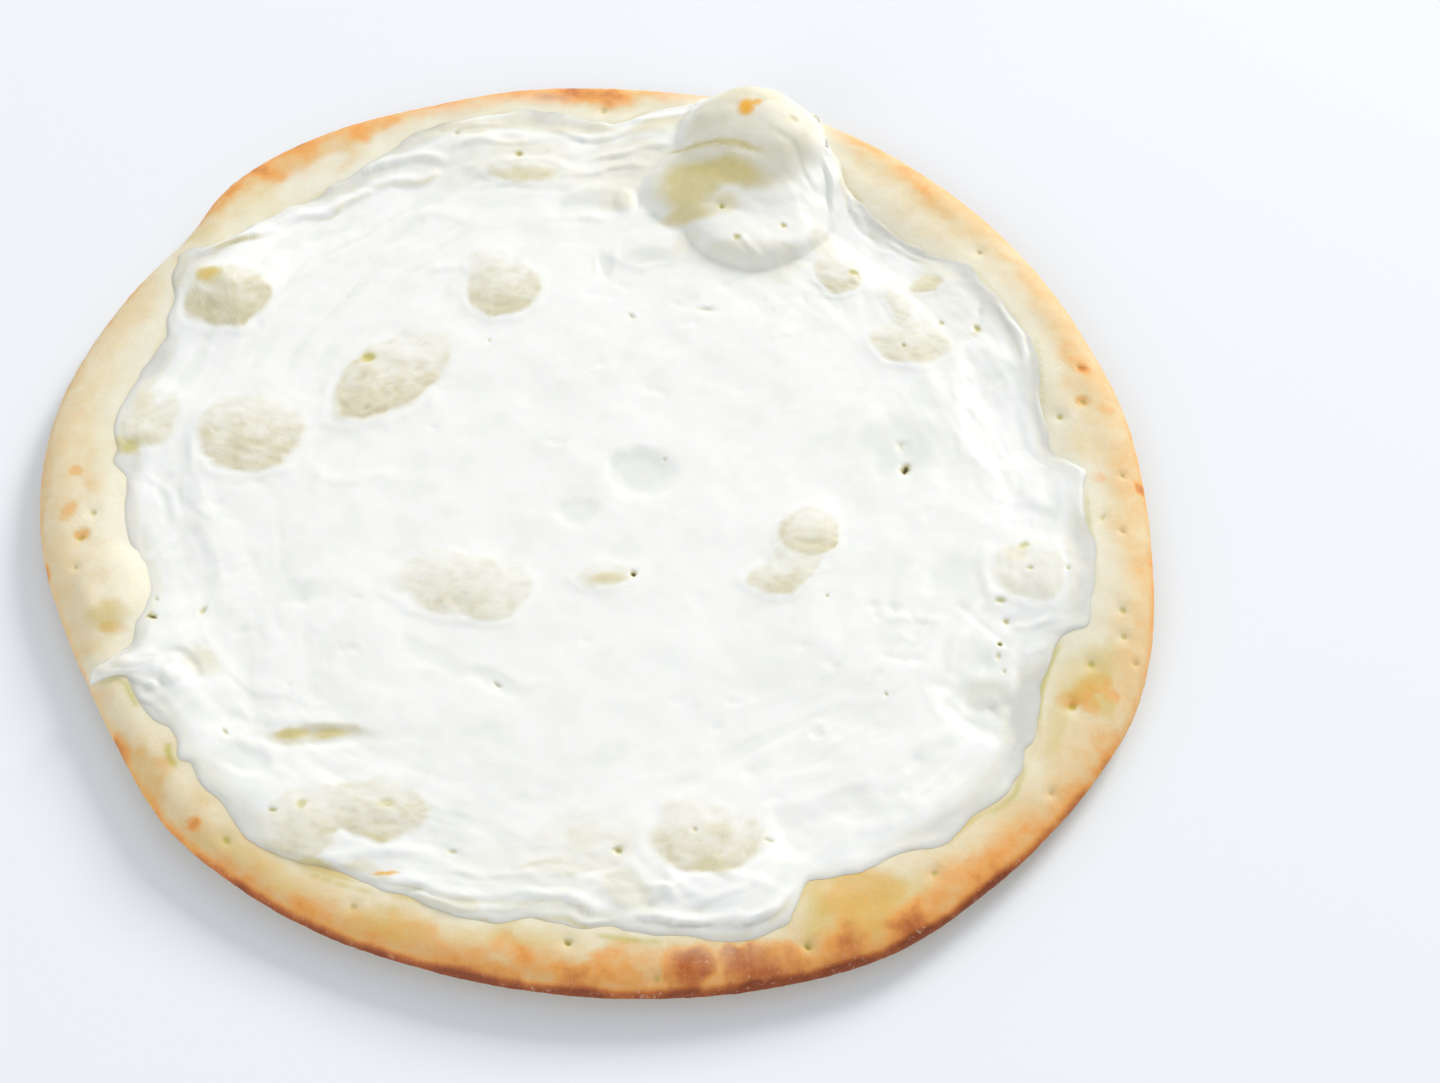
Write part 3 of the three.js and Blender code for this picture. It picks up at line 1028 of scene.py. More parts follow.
# the folds, ropes and creases that the spoon left
FOLDS: tuple[Fold, ...] = (
    # the raised border at the far left, in three ropes
    Fold(((-104, 70), (-97, 75), (-91, 77.3), (-83, 80.5)), 1.9, 3.6, 1.5),
    Fold(((-84, 83), (-77, 85.8), (-71, 87), (-65, 92.5), (-58, 96.5)), 1.9, 3.8, 1.6),
    Fold(((-62, 96.5), (-55, 98.3), (-47, 98), (-42, 102)), 1.8, 3.2, 1.6),
    Fold(((-66, 100.5), (-57, 105), (-48, 106), (-41, 104)), 1.4, 3.0, 1.6),
    # across the top, in flaps that drop towards the middle
    Fold(((-52, 112), (-44, 113), (-36, 116), (-26, 117)), 0.7, 3.0, 1.0),
    Fold(((-42, 108), (-33, 111), (-24, 110.5), (-14, 112.5)), 0.8, 3.0, 1.1),
    Fold(((-31, 101.5), (-21, 104.5), (-13, 104), (-8, 100)), 1.0, 3.5, 1.0),
    Fold(((-36, 95), (-24, 97), (-12, 95.5), (-2, 97)), 0.6, 4.5, 1.2),
    Fold(((-15, 116), (-6, 112.8), (1, 112.3), (9, 116)), 0.9, 4.0, 1.0),
    Fold(((4, 117.5), (13, 119.5), (22, 120.5), (31, 121)), 1.1, 3.0, 1.1),
    Fold(((-6, 105), (4, 106.5), (14, 109.5), (20, 110)), 0.9, 3.5, 1.1),
    Fold(((-14, 99), (-4, 100), (6, 102.5), (15, 102)), 0.7, 3.5, 1.0),
    Fold(((-10, 92.5), (-3, 94.5), (6, 94)), 0.8, 3.5, 1.2),
    Fold(((-16, 83.5), (-6, 85), (4, 84)), 0.7, 5.0, 1.2),
    Fold(((9, 87), (10.5, 91), (10, 96)), -0.7, 1.2, 1.2),
    # creases in the far left
    Fold(((-54, 75), (-60, 64), (-64, 58), (-69, 51)), 0.45, 5.0, 0.9),
    Fold(((-44, 67.2), (-33, 68)), 0.55, 4.0, 1.0),
    Fold(((-52, 84), (-42, 86), (-34, 83)), 0.4, 5.0, 1.4),
    # round the tall bubble
    Fold(((15, 107), (24, 105), (33, 101.7), (43, 98.5)), -0.9, 1.3, 1.2),
    Fold(((17, 105.5), (26, 103.3), (36, 99), (46, 95.5)), 0.6, 0.9, 2.0),
    Fold(((44, 105), (50, 101.5), (54, 95.5), (59, 89)), -0.7, 1.3, 2.0),
    Fold(((58, 117), (62, 105), (64.5, 93), (69, 82), (75, 75)), -0.6, 1.4, 1.4),
    Fold(((66.5, 97), (66.8, 88), (70.5, 80)), 0.8, 1.2, 1.2),
    Fold(((72, 84), (80, 76), (87, 71.5), (96, 66.5)), -0.3, 1.2, 1.2),
    Fold(((75, 79), (82, 72.5), (91, 67)), 0.6, 2.0, 0.9),
    Fold(((35, 76.5), (40, 71.5), (46, 67)), 0.9, 1.6, 1.2),
    Fold(((38, 87), (46, 85.5), (55, 88)), -0.5, 1.6, 1.6),
    Fold(((24, 88), (31, 85.5), (39, 84)), -0.5, 1.4, 1.4),
    # far right
    Fold(((98.5, 58), (97.5, 50), (95, 44.5), (89, 43)), -0.9, 1.0, 1.0),
    Fold(((102, 57), (106, 48.5), (108.3, 41), (108.5, 34)), 0.9, 1.6, 1.6),
    Fold(((85, 30), (87.5, 32), (89.3, 35)), -0.7, 0.9, 0.9),
    Fold(((90, 45.5), (93.5, 47), (97, 50)), 0.5, 3.0, 0.9),
    Fold(((70, 58), (73, 50), (79, 36), (88, 30)), 0.35, 6.0, 4.0),
    Fold(((108, 32), (108, 20), (109, 12), (116, 3)), 0.35, 3.0, 2.4),
    Fold(((94, 24), (100, 14), (103, 2), (110, -8)), 0.3, 5.0, 2.4),
    Fold(((96, 12), (95, 2), (99, -6)), 0.2, 2.6, 1.6),
    # near right: the big dent and the skin round the bubble
    Fold(((88, -71), (81.5, -63), (80, -55), (82.5, -47), (89, -40)), 0.35, 3.0, 3.0),
    Fold(((87, -35), (91, -38), (96, -43), (101, -47)), -0.5, 1.1, 1.4),
    Fold(((100, -59.5), (105.4, -54.5), (109.5, -50.5)), -0.7, 1.1, 1.1),
    Fold(((100, -41), (106, -40.5), (113, -38.5)), 0.6, 2.0, 1.1),
    Fold(((102, -49), (108, -46.5)), 0.6, 2.0, 1.0),
    Fold(((96, -17), (94, -26), (96, -36)), 0.6, 3.0, 1.6),
    Fold(((70, -40), (77, -39.5), (84, -40.5)), 0.4, 2.6, 0.9),
    Fold(((68, -49), (75, -50.5), (80, -50.5)), -0.4, 1.2, 1.2),
    # near edge, in arcs that follow it
    Fold(((8, -104.5), (12, -108), (15, -112.5), (17, -117)), -0.7, 3.2, 3.4),
    Fold(((7, -102.5), (13.4, -105.3), (18.5, -109), (23.5, -113)), 0.5, 3.0, 1.3),
    Fold(((2, -106.5), (7, -110), (12, -115)), 0.5, 1.4, 2.8),
    Fold(((15, -114.5), (22, -109), (30, -107.5), (38, -106)), 0.9, 3.0, 1.1),
    Fold(((24, -114.5), (33, -112), (42, -108)), 0.7, 2.4, 1.0),
    Fold(((-15, -113.3), (-4, -112.3), (2, -113.8), (7, -118)), 1.0, 3.0, 0.8),
    Fold(((-13, -116.6), (-2.4, -116.2), (2, -118.4), (8, -118.8)), 0.9, 2.0, 0.8),
    Fold(((6, -118.4), (18, -117.8), (30, -118.3), (39, -117.5), (45, -113.5), (50, -107.5)),
         1.3, 3.4, 1.0),
    Fold(((-48, -107.5), (-39, -107.8), (-33, -109.8), (-25, -112.3), (-13, -111.7)), 0.9, 3.0, 0.8),
    Fold(((-36, -111), (-30, -113.6), (-24, -115.4), (-10, -115.3)), 0.8, 2.0, 0.8),
    Fold(((-32, -105), (-20, -107), (-7, -106.3), (2, -108.5)), 0.7, 3.5, 0.9),
    Fold(((-14, -104.6), (-8, -102.6), (-1, -102.8)), 0.5, 2.5, 0.9),
    Fold(((54, -106), (66, -102), (78, -98.5), (88, -91)), 0.5, 3.0, 1.4),
    Fold(((16.6, -100), (19.8, -105.8), (24, -110.4), (30, -112.6)), 0.6, 2.6, 1.2),
    Fold(((28, -105.2), (33, -107), (40.4, -109.2), (46.6, -111.5)), 0.6, 2.5, 1.0),
    Fold(((12, -99), (14.6, -105.8), (19.8, -109.2), (25, -113.8)), -0.5, 2.4, 1.6),
    Fold(((28, -117.7), (34.2, -116.6), (39.3, -117.1), (44.5, -113.8)), 0.6, 2.0, 0.9),
    Fold(((-21, -112.1), (-15, -111.5), (-8, -111.5), (-0.6, -112.6), (5.6, -116)), 0.6, 2.4, 0.9),
    # near left
    Fold(((-58, -103), (-50, -100.8), (-42, -100), (-31, -100.4)), 1.1, 2.4, 2.2),
    Fold(((-72, -95), (-64, -101), (-56, -102.8), (-47, -104.8)), 0.7, 2.6, 1.0),
    Fold(((-98.5, -50.8), (-94.5, -49.4), (-91, -51.6), (-89.7, -55.3), (-91.8, -58.6)),
         -1.0, 2.0, 1.8),
    Fold(((-107.5, -56), (-101.9, -57.4), (-98.2, -59.4)), 0.8, 1.6, 1.0),
    Fold(((-104, -61), (-100, -63), (-95, -68)), 0.7, 2.2, 1.0),
    Fold(((-112, -52), (-109, -53.5), (-104, -52.5)), -0.5, 1.0, 1.0),
    Fold(((-85, -49.5), (-79.5, -56.4), (-75, -59), (-69.7, -59.6), (-58, -59)), 0.55, 5.0, 1.8),
    Fold(((-84, -61), (-76, -66.5), (-64, -67.5), (-52, -68)), 0.5, 4.0, 1.6),
    # left
    Fold(((-108, -25), (-101, -18), (-95, -12)), 0.4, 3.5, 1.2),
    Fold(((-103, 3), (-97, -6), (-90, -11)), 0.35, 4.0, 1.4),
    Fold(((-112, 4), (-105, 0), (-101, -8), (-103, -18)), 0.4, 3.0, 1.6),
    Fold(((-70, 3), (-58, 0), (-48, 4)), 0.35, 4.0, 2.0),
)

# olive lines of oil beside the folds, partly painted shade in the grooves and under the flaps there
OLIVE_AND_SHADE_LINES: tuple[Fold, ...] = (
    stroke(((-101.5, 71.5), (-96, 74.6), (-91, 76.4), (-86, 78)), 0.9, 0.75),
    stroke(((-80, 84.6), (-71.5, 85.2), (-66.5, 91), (-57, 96)), 0.8, 0.3),
    stroke(((-62, 95.5), (-55, 97.4), (-47, 97.4), (-42.5, 101)), 0.9, 0.45),
    stroke(((-8.5, -117.6), (-2.4, -117.4), (1, -119.2), (5.6, -119.9)), 0.9, 0.8),
    stroke(((-14, -113.9), (-4, -113.1), (4, -115.6)), 0.8, 0.4),
    stroke(((-27, -117.3), (-18, -117.6)), 0.9, 0.7),
    stroke(((-10, -117.4), (-2, -117.6)), 0.9, 0.6),
    stroke(((-40, -108.9), (-32, -110.9), (-24, -113.3), (-15, -112.7)), 0.8, 0.35),
    stroke(((28, -121), (34, -121.6), (39.5, -120.6)), 0.8, 0.45),
    stroke(((42, -118.8), (47, -113.5)), 0.8, 0.45),
    stroke(((97.5, 50), (96.8, 47), (95.5, 45)), 0.9, 0.7),
    stroke(((-13, -104.9), (-8, -103.3), (-2, -103.4)), 0.7, 0.35),
    stroke(((-48.5, -96.3), (-45.5, -97), (-42, -98.5)), 0.9, 0.7),
)

# dimples and dents with painted shade in them; the patches with no height are painted shade alone,
# under lobes and flaps and in creases
HOLLOWS_WITH_SHADE: tuple[Patch, ...] = (
    Patch((12, 2.5), (8, 6.5), strength=0.9, high=-0.9),
    Patch((-3, -8.5), (5, 4), strength=0.6, high=-0.5),
    Patch((76, 11), (11, 9), strength=0.8, high=-0.5),
    Patch((-5, 88.5), (7, 3.4), strength=0.7, high=-0.8),
    Patch((1.5, 69), (1.6, 4), turn=12, strength=0.9, high=-0.7),
    Patch((-76.5, -77.5), (6.5, 3.6), turn=-20, strength=0.8, high=-0.9),
    Patch((-60, -71.5), (12, 2.6), turn=2, strength=0.8, high=-0.8),
    Patch((-68, -32), (6, 3.5), strength=0.8, high=-0.4),
    Patch((-20, -57), (7, 2.6), turn=-30, strength=0.55, high=-0.5),
    Patch((-35, -50), (9, 3), turn=-30, strength=0.45, high=-0.4),
    Patch((94, -59), (12, 11), strength=0.75, high=-1.3),
    Patch((92.5, -60), (7, 4), strength=0.9, high=-0.6),
    Patch((88, -28), (7, 9), strength=0.6, high=-0.5),
    Patch((102, 46), (3.5, 9), turn=12, strength=0.4, high=-0.25),
    Patch((-94, -49.5), (5, 2.4), turn=-15, strength=0.55),
    Patch((-85, -64), (8, 5), strength=0.45, high=-0.3),
    Patch((-104, -33), (5, 10), strength=0.35),
    Patch((14, 70.5), (8, 3), strength=0.7),
    Patch((38, 68.5), (14, 4.5), turn=-22, strength=0.6),
    Patch((55, 73), (7, 4), turn=20, strength=0.6),
    Patch((60, 98), (4, 12), turn=10, strength=0.55),
    Patch((13, -112), (6, 5), turn=-40, strength=0.9),
    Patch((65, -66), (9, 4), strength=0.35, high=-0.3),
    Patch((44, -52), (12, 8), strength=0.25, high=-0.4),
    Patch((44, 60), (12, 5), turn=-20, strength=0.3, high=-0.3),
    Patch((-28, 92), (10, 4), strength=0.4),
)

# where the labneh ends in a thick lip instead of a thin film
THICK_EDGES: tuple[Patch, ...] = (
    Patch((24, -117), (32, 9), high=0.9),
    Patch((-20, -115), (20, 6), turn=-12, high=0.7),
    Patch((46, -110), (8, 8), high=0.8),
)

# small lumps, most of them on the tongue at the left
LUMPS: tuple[Patch, ...] = (
    Patch((-110, -54.3), (6, 2.6), turn=15, high=0.9),
    Patch((-103, -52.5), (5, 4), high=0.8),
    Patch((-100.5, -60), (4, 3), turn=-40, high=0.6),
    Patch((-95, -55.4), (2.6, 2.4), high=1.0),
    Patch((6.5, 91), (2.4, 3.2), high=0.9),
    Patch((20.5, -110.8), (3, 1.6), turn=-35, high=0.7),
    Patch((-113.5, -53), (2, 2.4), high=0.7),
    Patch((-109, -49.8), (2.4, 1.2), turn=-30, high=0.5),
    Patch((50, 73), (6, 3), high=0.4),
)

# where oil and browned film show yellow; one olive line is painted shade under a ridge
YELLOW_PATCHES: tuple[Patch, ...] = (
    Patch((-100, 63.5), (3.4, 2.6), strength=1.0),
    Patch((-57, 38.5), (1.8, 1.8), strength=0.7),
    Patch((32, 95), (12, 3.6), turn=-10, strength=0.95),
    Patch((24, 91), (7.5, 8.5), turn=12, strength=0.85),
    Patch((23, 83.5), (8, 2.6), turn=2, strength=0.8),
    Patch((33, 86), (4, 3), turn=4, strength=0.5),
    Patch((30, 103), (14, 1.2), turn=-17, strength=0.8),
    # painted shade: the olive line under the white bar above it
    Patch((13, 117), (9, 1.8), turn=10, strength=0.3),
    Patch((-20, 100.4), (8, 2.0), turn=3, strength=0.3),
    Patch((-116, 12), (4, 2.5), turn=-30, strength=0.7),
    Patch((-58.5, -103.7), (6, 1.4), turn=-14, strength=0.85),
    Patch((-66, -70.3), (4.5, 1.2), strength=0.9),
    Patch((-57.5, -70.8), (3.6, 1.2), strength=0.8),
    Patch((5, -28.5), (4.5, 1.3), strength=0.55),
    Patch((85, 64), (3, 2.2), strength=0.35),
    Patch((30, -95.4), (2.6, 1.6), strength=0.3),
    Patch((29, -104), (5, 1.5), turn=12, strength=0.3),
    Patch((1, -97), (4, 3), strength=0.15),
    Patch((-112, 24), (3, 5), strength=0.3),
    Patch((56, -18), (4, 3), strength=0.18),
    Patch((102.5, -21), (3, 2.5), strength=0.3),
)

# where the labneh is scraped thin away from the bubbles
BARE_PATCHES: tuple[Patch, ...] = (
    Patch((-47, 116), (8, 4), turn=12, strength=0.5),
    Patch((-28, 118), (14, 4), turn=5, strength=0.45),
    Patch((-26, 105), (26, 9), strength=0.22),
    Patch((8, 103), (16, 10), strength=0.3),
    Patch((38, 71.5), (17, 3.6), turn=-6, strength=0.32),
    Patch((24, 76), (5, 6), turn=-30, strength=0.3),
    Patch((57, 76), (5, 6), turn=25, strength=0.3),
    Patch((-6, 117), (12, 3), turn=-8, strength=0.45),
    Patch((-22, 108), (10, 2.5), strength=0.35),
    Patch((16, 116), (12, 3), turn=10, strength=0.35),
    Patch((5, 91), (4, 4), strength=0.35),
    Patch((30, 110), (8, 5), strength=0.45),
    Patch((40, 118), (13, 6), strength=0.55),
    Patch((27, 97), (14, 9), strength=0.45),
    Patch((36, 70.5), (14, 4), turn=-22, strength=0.25),
    Patch((56, 74), (5, 4), strength=0.3),
    Patch((85, 56), (14, 9), turn=-35, strength=0.18),
    Patch((-10, -104), (22, 7), strength=0.16),
    Patch((13, -112), (8, 5), turn=-40, strength=0.35),
    Patch((-88, -51), (6, 4), turn=-40, strength=0.4),
    Patch((-66, -101), (8, 3.5), turn=-20, strength=0.5),
    Patch((-47, -105.5), (6, 2), turn=-10, strength=0.5),
    Patch((-30, -113.5), (10, 2.5), turn=-12, strength=0.4),
    Patch((-60, -71), (13, 2.6), strength=0.5),
    Patch((-112, -53), (5, 4), strength=0.35),
    Patch((-110, 67), (4, 9), strength=0.5),
    Patch((94, -60), (8, 5), strength=0.3),
    Patch((92, -82), (12, 4), turn=35, strength=0.15),
)

# toasted flecks on the labneh
ORANGE_MARKS: tuple[Patch, ...] = (
    Patch((38.6, 111.6), (2.2, 3.0), strength=1.0),
    Patch((41.4, 113.4), (1.4, 1.3), turn=30, strength=0.8),
    Patch((-42.3, -106.1), (3.0, 0.5), turn=4, strength=0.9),
    Patch((-99.8, 63.6), (2.4, 1.6), strength=0.3),
)

# holes where steam burst through the labneh, olive at the bottom; the darkest bottoms are painted
# shade
BURST_HOLES: tuple[Pit, ...] = (
    Pit((32, 85), 0.8, 0.7), Pit((48, 79), 0.9, 0.65), Pit((36, 75), 0.9, 0.6, stretch=1.3),
    Pit((51, 108), 1.4, 0.3), Pit((66, 66), 1.0, 0.65, stretch=1.3), Pit((88, 50), 0.8, 0.45),
    Pit((97, 48), 0.8, 0.6, stretch=1.7, turn=-60), Pit((78, 42), 0.6, 0.35),
    Pit((77, 4), 0.9, 1.0, 1.2, 2.0, 65), Pit((76, 11), 0.8, 0.2, 0.5, 2.0, 80),
    Pit((104.6, -18.6), 0.9, 0.55, stretch=1.8, turn=28), Pit((105.5, -25.5), 0.6, 0.5, stretch=1.5),
    Pit((114.5, -25.8), 0.6, 0.45), Pit((98.1, -34), 0.8, 0.55, stretch=1.5, turn=5),
    Pit((99.1, -39.4), 0.8, 0.62), Pit((97.3, -45.5), 0.7, 1.0),
    Pit((96.8, -48.6), 0.7, 0.4, stretch=1.4, turn=80), Pit((97.9, -52.7), 0.5, 0.4),
    Pit((-22, 107), 1.1, 0.75), Pit((-39, 114), 0.8, 0.35),
    Pit((-62.3, -89.4), 1.1, 0.55, turn=60, stretch=1.2), Pit((-43.4, -88.9), 1.2, 0.4, 0.4, 1.5, 10),
    Pit((-68.7, -91), 0.6, 0.5, stretch=1.8), Pit((9, -100.5), 1.0, 0.65, 0.9),
    Pit((42.5, -98), 0.5, 0.4, stretch=2.4, turn=-15), Pit((26, -95.5), 0.6, 0.3),
    Pit((-57, 38.3), 1.5, 0.6, 0.3, 1.2, 10), Pit((-113.5, 11.5), 1.7, 0.45, 0.3, 1.4, 30),
    Pit((11, -27), 0.8, 0.95, 0.9), Pit((-102.3, -38.8), 0.7, 0.95, 0.8, 2.0, -15),
    Pit((-102, -33.5), 0.5, 0.4), Pit((-90.6, -37.1), 0.7, 0.45, 0.6, 1.9, 55),
    Pit((-81.6, -70.7), 0.6, 0.35, 0.5, 1.8, -50), Pit((57, -33), 0.5, 0.4), Pit((70, -60), 0.5, 0.4),
    Pit((-28, -100.5), 0.7, 0.35, stretch=1.6), Pit((18, 7), 0.5, 0.3),
    Pit((9, 52), 0.7, 0.25, 0.5, 1.8, -50), Pit((28, 54), 0.7, 0.2, 0.5, 4.0, -4),
    Pit((-27, 44), 0.5, 0.3), Pit((-20, -57.5), 0.6, 0.25, 0.5, 2.0, -40),
)

# where flakes and nicks are scattered
CHIP_FIELDS: tuple[ChipField, ...] = (
    ChipField((-92, -15), (20, 30), 16, slant=30),
    ChipField((-70, -45), (26, 22), 12, slant=-20),
    ChipField((90, 12), (18, 26), 12, slant=60),
    ChipField((78, -45), (18, 22), 12, slant=0),
    ChipField((25, 55), (34, 14), 12, slant=0),
    ChipField((5, 35), (70, 24), 12, slant=20),
    ChipField((0, -60), (70, 28), 14, slant=0),
    ChipField((60, -85), (28, 12), 8, slant=20),
    ChipField((-10, 103), (38, 12), 10, slant=5),
    ChipField((-5, -107), (40, 6), 10, slant=0),
)


@dataclass
class LabnehSpread:
    """The layer of labneh: thick in the open, a baked film over the bubbles.

    Attributes:
        dough: The heights that the labneh lies on.
        outline: Its ragged outline.
        soft_outline: The same with calmer corners, which the rings inside follow.
        cells: How many cells the core has along each side.
        core_share: The half width of the core, as a share of the outline's radius.
        core_roundness: How far the core's grid is pushed towards a circle.
        middle_share: Where the band of even rings round the core ends.
        middle_steps: How many rings it has.
        border_steps: How many rings there are from there to the lip.
        depth: The labneh's depth in the open.
        edge_depth: Its depth just inside the edge.
        lip_start: Where the lip starts to round over.
        lip_turn: How far the lip's profile turns, in radians, so that past a quarter it tucks under.
        lip_steps: How many rings the lip has.
        tuck_share: Where the ring just inside the lip's underside is.
        hub_share: Where the last ring underneath is.
        under_steps: How many rings are cut between those two.
        gap: The clearance between the dough and the labneh.
        thinnest: The least depth anywhere.
        film_depth: The most depth at the very edge, away from its swellings.
        edge_slope: How fast that grows inwards, in millimetres for a whole radius.
        bubble_slope: How fast the depth under a bubble does.
        refined_reach: How far round a burst hole the mesh is finer.
        fold_scale: What the heights of the folds are multiplied by.
        streak_height: The height of the long smears.
        ruffle_height: The height of the ruffles beside the edge.
        hem_height: The height of the hem on the near side of a bubble.
        crinkle_height: The height of the wrinkles in the baked film.
        chip_seed: Starts the random draws of the flakes and nicks.
        piece: The finished labneh.
    """

    dough: Dough
    outline: Outline
    soft_outline: Outline
    cells: int = 188
    core_share: float = 0.6
    core_roundness: float = 0.55
    middle_share: float = 0.8
    middle_steps: int = 22
    border_steps: int = 34
    depth: float = 3.8
    edge_depth: float = 0.35
    lip_start: float = 0.985
    lip_turn: float = 1.52
    lip_steps: int = 7
    tuck_share: float = 0.93
    hub_share: float = 0.1
    under_steps: int = 4
    gap: float = 0.05
    thinnest: float = 0.15
    film_depth: float = 0.2
    edge_slope: float = 22.0
    bubble_slope: float = 24.0
    refined_reach: float = 1.6
    fold_scale: float = 0.62
    streak_height: float = 0.24
    ruffle_height: float = 0.24
    hem_height: float = 0.22
    crinkle_height: float = 0.5
    chip_seed: int = 7
    piece: bpy.types.Object = field(init=False)

    def bands(self) -> list[tuple[float, int, float]]:
        """The profile from the core, over the lip, to the underside.

        Returns:
            For each band, the share of the labneh's radius where it ends, how many rings are
            cut into it, and its height from 0 underneath to 1 on top.
        """
        reach = 1 - self.lip_start
        lip = []
        for step in range(1, self.lip_steps + 1):
            passed = step / self.lip_steps
            share = self.lip_start + reach * math.sin(self.lip_turn * passed)
            lip.append((share, 0, 0.5 + 0.5 * math.cos(math.pi * passed)))
        return [(self.middle_share, self.middle_steps, 1.0),
                (self.lip_start, self.border_steps, 1.0), *lip,
                (self.tuck_share, 1, 0.0), (self.hub_share, self.under_steps, 0.0)]

    def build(self) -> bpy.types.Object:
        """Makes the labneh's mesh.

        Returns:
            The labneh, in metres.
        """
        work = bmesh.new()
        level = work.verts.layers.float.new("level")
        bmesh.ops.create_grid(work, x_segments=self.cells, y_segments=self.cells, size=1.0)
        for vert in work.verts:
            x, y = vert.co.x, vert.co.y
            vert.co.x = self.core_share * x * math.sqrt(1 - self.core_roundness * y * y / 2)
            vert.co.y = self.core_share * y * math.sqrt(1 - self.core_roundness * x * x / 2)
            vert[level] = 1.0
        rim = [edge for edge in work.edges if edge.is_boundary]
        for share, cuts, height in self.bands():
            def move(vert: bmesh.types.BMVert) -> None:
                """Puts a vertex on the band's end."""
                vert.co.xy = vert.co.xy.normalized() * share
                vert[level] = height
            rim = grow_band(work, rim, cuts, move)
        close_rim(work, rim, level)
        stretch_to(work, self.outline, self.soft_outline)
        holes = [pit.centre for pit in BURST_HOLES]
        refine_near(work, holes, self.refined_reach, level, cuts=1)
        self.piece = finish_piece("labneh_layer", work)
        self._sculpt()
        return self.piece

    def _sculpt(self) -> None:
        """Gives the mesh its heights, relief and painted attributes."""
        mesh = self.piece.data
        places = place_array(mesh)
        level = float_array(mesh, "level")
        flat = places[:, :2].copy()
        ragged = warped(flat, 1.2, 9.0, seed=24) - flat
        flat += ragged * smoothstep(0.9, 1.0, self.outline.share(flat))[:, None]
        places[:, :2] = flat
        ground = on_table(flat)
        bent = warped(warped(flat, 2.0, 12.0, seed=21), 0.9, 4.0, seed=22)
        uneven = fractal(ground, 9.0, 3, seed=11)
        floor = self.dough.plain_top(flat) + self.gap
        depth = self._open_depth(flat, ground, uneven)
        top, thin = self._cover_bubbles(flat, bent, ground, floor, floor + depth)
        stain = np.zeros(len(flat))
        for pit in BURST_HOLES:
            reach = pit.reach(flat)
            top -= pit.deep * smoothstep(1.4, 0.3, reach)
            # the olive bottoms of the holes, and in the darkest ones painted shade
            stain = np.maximum(stain, pit.stain * smoothstep(1.35, 0.5, reach))
        top = np.maximum(top, floor + self.thinnest)
        places[:, 2] = floor + (top - floor) * level
        set_places(mesh, places * METRES_PER_MM)
        self._paint(flat, bent, uneven, depth, thin, stain)

    def _paint(self, flat: np.ndarray, bent: np.ndarray, uneven: np.ndarray, depth: np.ndarray,
               thin: np.ndarray, stain: np.ndarray) -> None:
        """Paints what the material reads.

        Args:
            flat: Rows of x, y.
            bent: The same places, bent about.
            uneven: Noise with humps about 9 mm apart.
            depth: The labneh's depth away from the bubbles.
            thin: How thin the bubbles leave it, from 0 to 1, with painted shade on their near sides
                and a painted highlight on their wrinkles' crests.
            stain: How dark the holes' bottoms are, the darkest with painted shade.
        """
        mesh = self.piece.data
        thin = np.maximum(thin, 0.35 * smoothstep(1.2, 0.4, depth))
        for patch in BARE_PATCHES:
            thin = np.maximum(thin, patch.cover(bent, uneven))
        yellow = np.zeros(len(flat))
        calm = 0.5 * (flat + bent)
        for patch in YELLOW_PATCHES:
            yellow = np.maximum(yellow, patch.cover(calm, 0.6 * uneven))
        # the olive lines: oil, partly painted shade in the creases
        for line in OLIVE_AND_SHADE_LINES:
            yellow = np.maximum(yellow, line.rise(flat, uneven))
        orange = np.zeros(len(flat))
        for patch in ORANGE_MARKS:
            orange = np.maximum(orange, patch.cover(flat, 0.5 * uneven))
        # a cool tone that varies at random, plus painted shade in the streaks' troughs and in the
        # hollows
        cool_tone_and_shade = 0.3 * smoothstep(0.0, 0.6, uneven)
        outward = smoothstep(0.4, 0.8, self.outline.share(flat))
        # painted shade in the troughs of the spoon streaks
        cool_tone_and_shade += 0.4 * smoothstep(0.1, 0.5, -self._streaks(flat)) * outward
        for hollow in HOLLOWS_WITH_SHADE:
            cool_tone_and_shade = np.maximum(cool_tone_and_shade, hollow.cover(bent, 0.5 * uneven))
        paint(mesh, "thin", thin)
        paint(mesh, "yellow", yellow)
        paint(mesh, "orange", orange)
        paint(mesh, "cool_tone_and_shade", cool_tone_and_shade)
        paint(mesh, "pit", stain)

    def _open_depth(self, flat: np.ndarray, ground: np.ndarray, uneven: np.ndarray) -> np.ndarray:
        """How deep the labneh is away from the bubbles, with its folds and spoon marks.

        Args:
            flat: Rows of x, y.
            ground: The same places with a third column of zeros.
            uneven: Noise with humps about 9 mm apart.

        Returns:
            One depth in millimetres for each row.
        """
        # level in the open, and thinning out to a ragged film at the edge
        share = self.soft_outline.share(flat)
        edge = smoothstep(0.86, 0.985, share)
        swell = fractal(ground, 20.0, 2, seed=14)
        depth = self.depth + (self.edge_depth - self.depth + 0.7 * swell) * edge
        depth += 0.35 * fractal(ground, 30.0, 2, seed=15) + 0.05 * uneven
        rippled = warped(flat, 0.8, 6.0, seed=23)
        inside = np.maximum(0.0, 0.99 - np.maximum(share, self.outline.share(flat)))
        most = self.film_depth + 0.5 * smoothstep(0.0, 0.5, swell) + self.edge_slope * inside
        for patch in THICK_EDGES:
            most += patch.high * patch.cover(rippled, 0.4 * uneven)
        depth = np.minimum(depth, most)
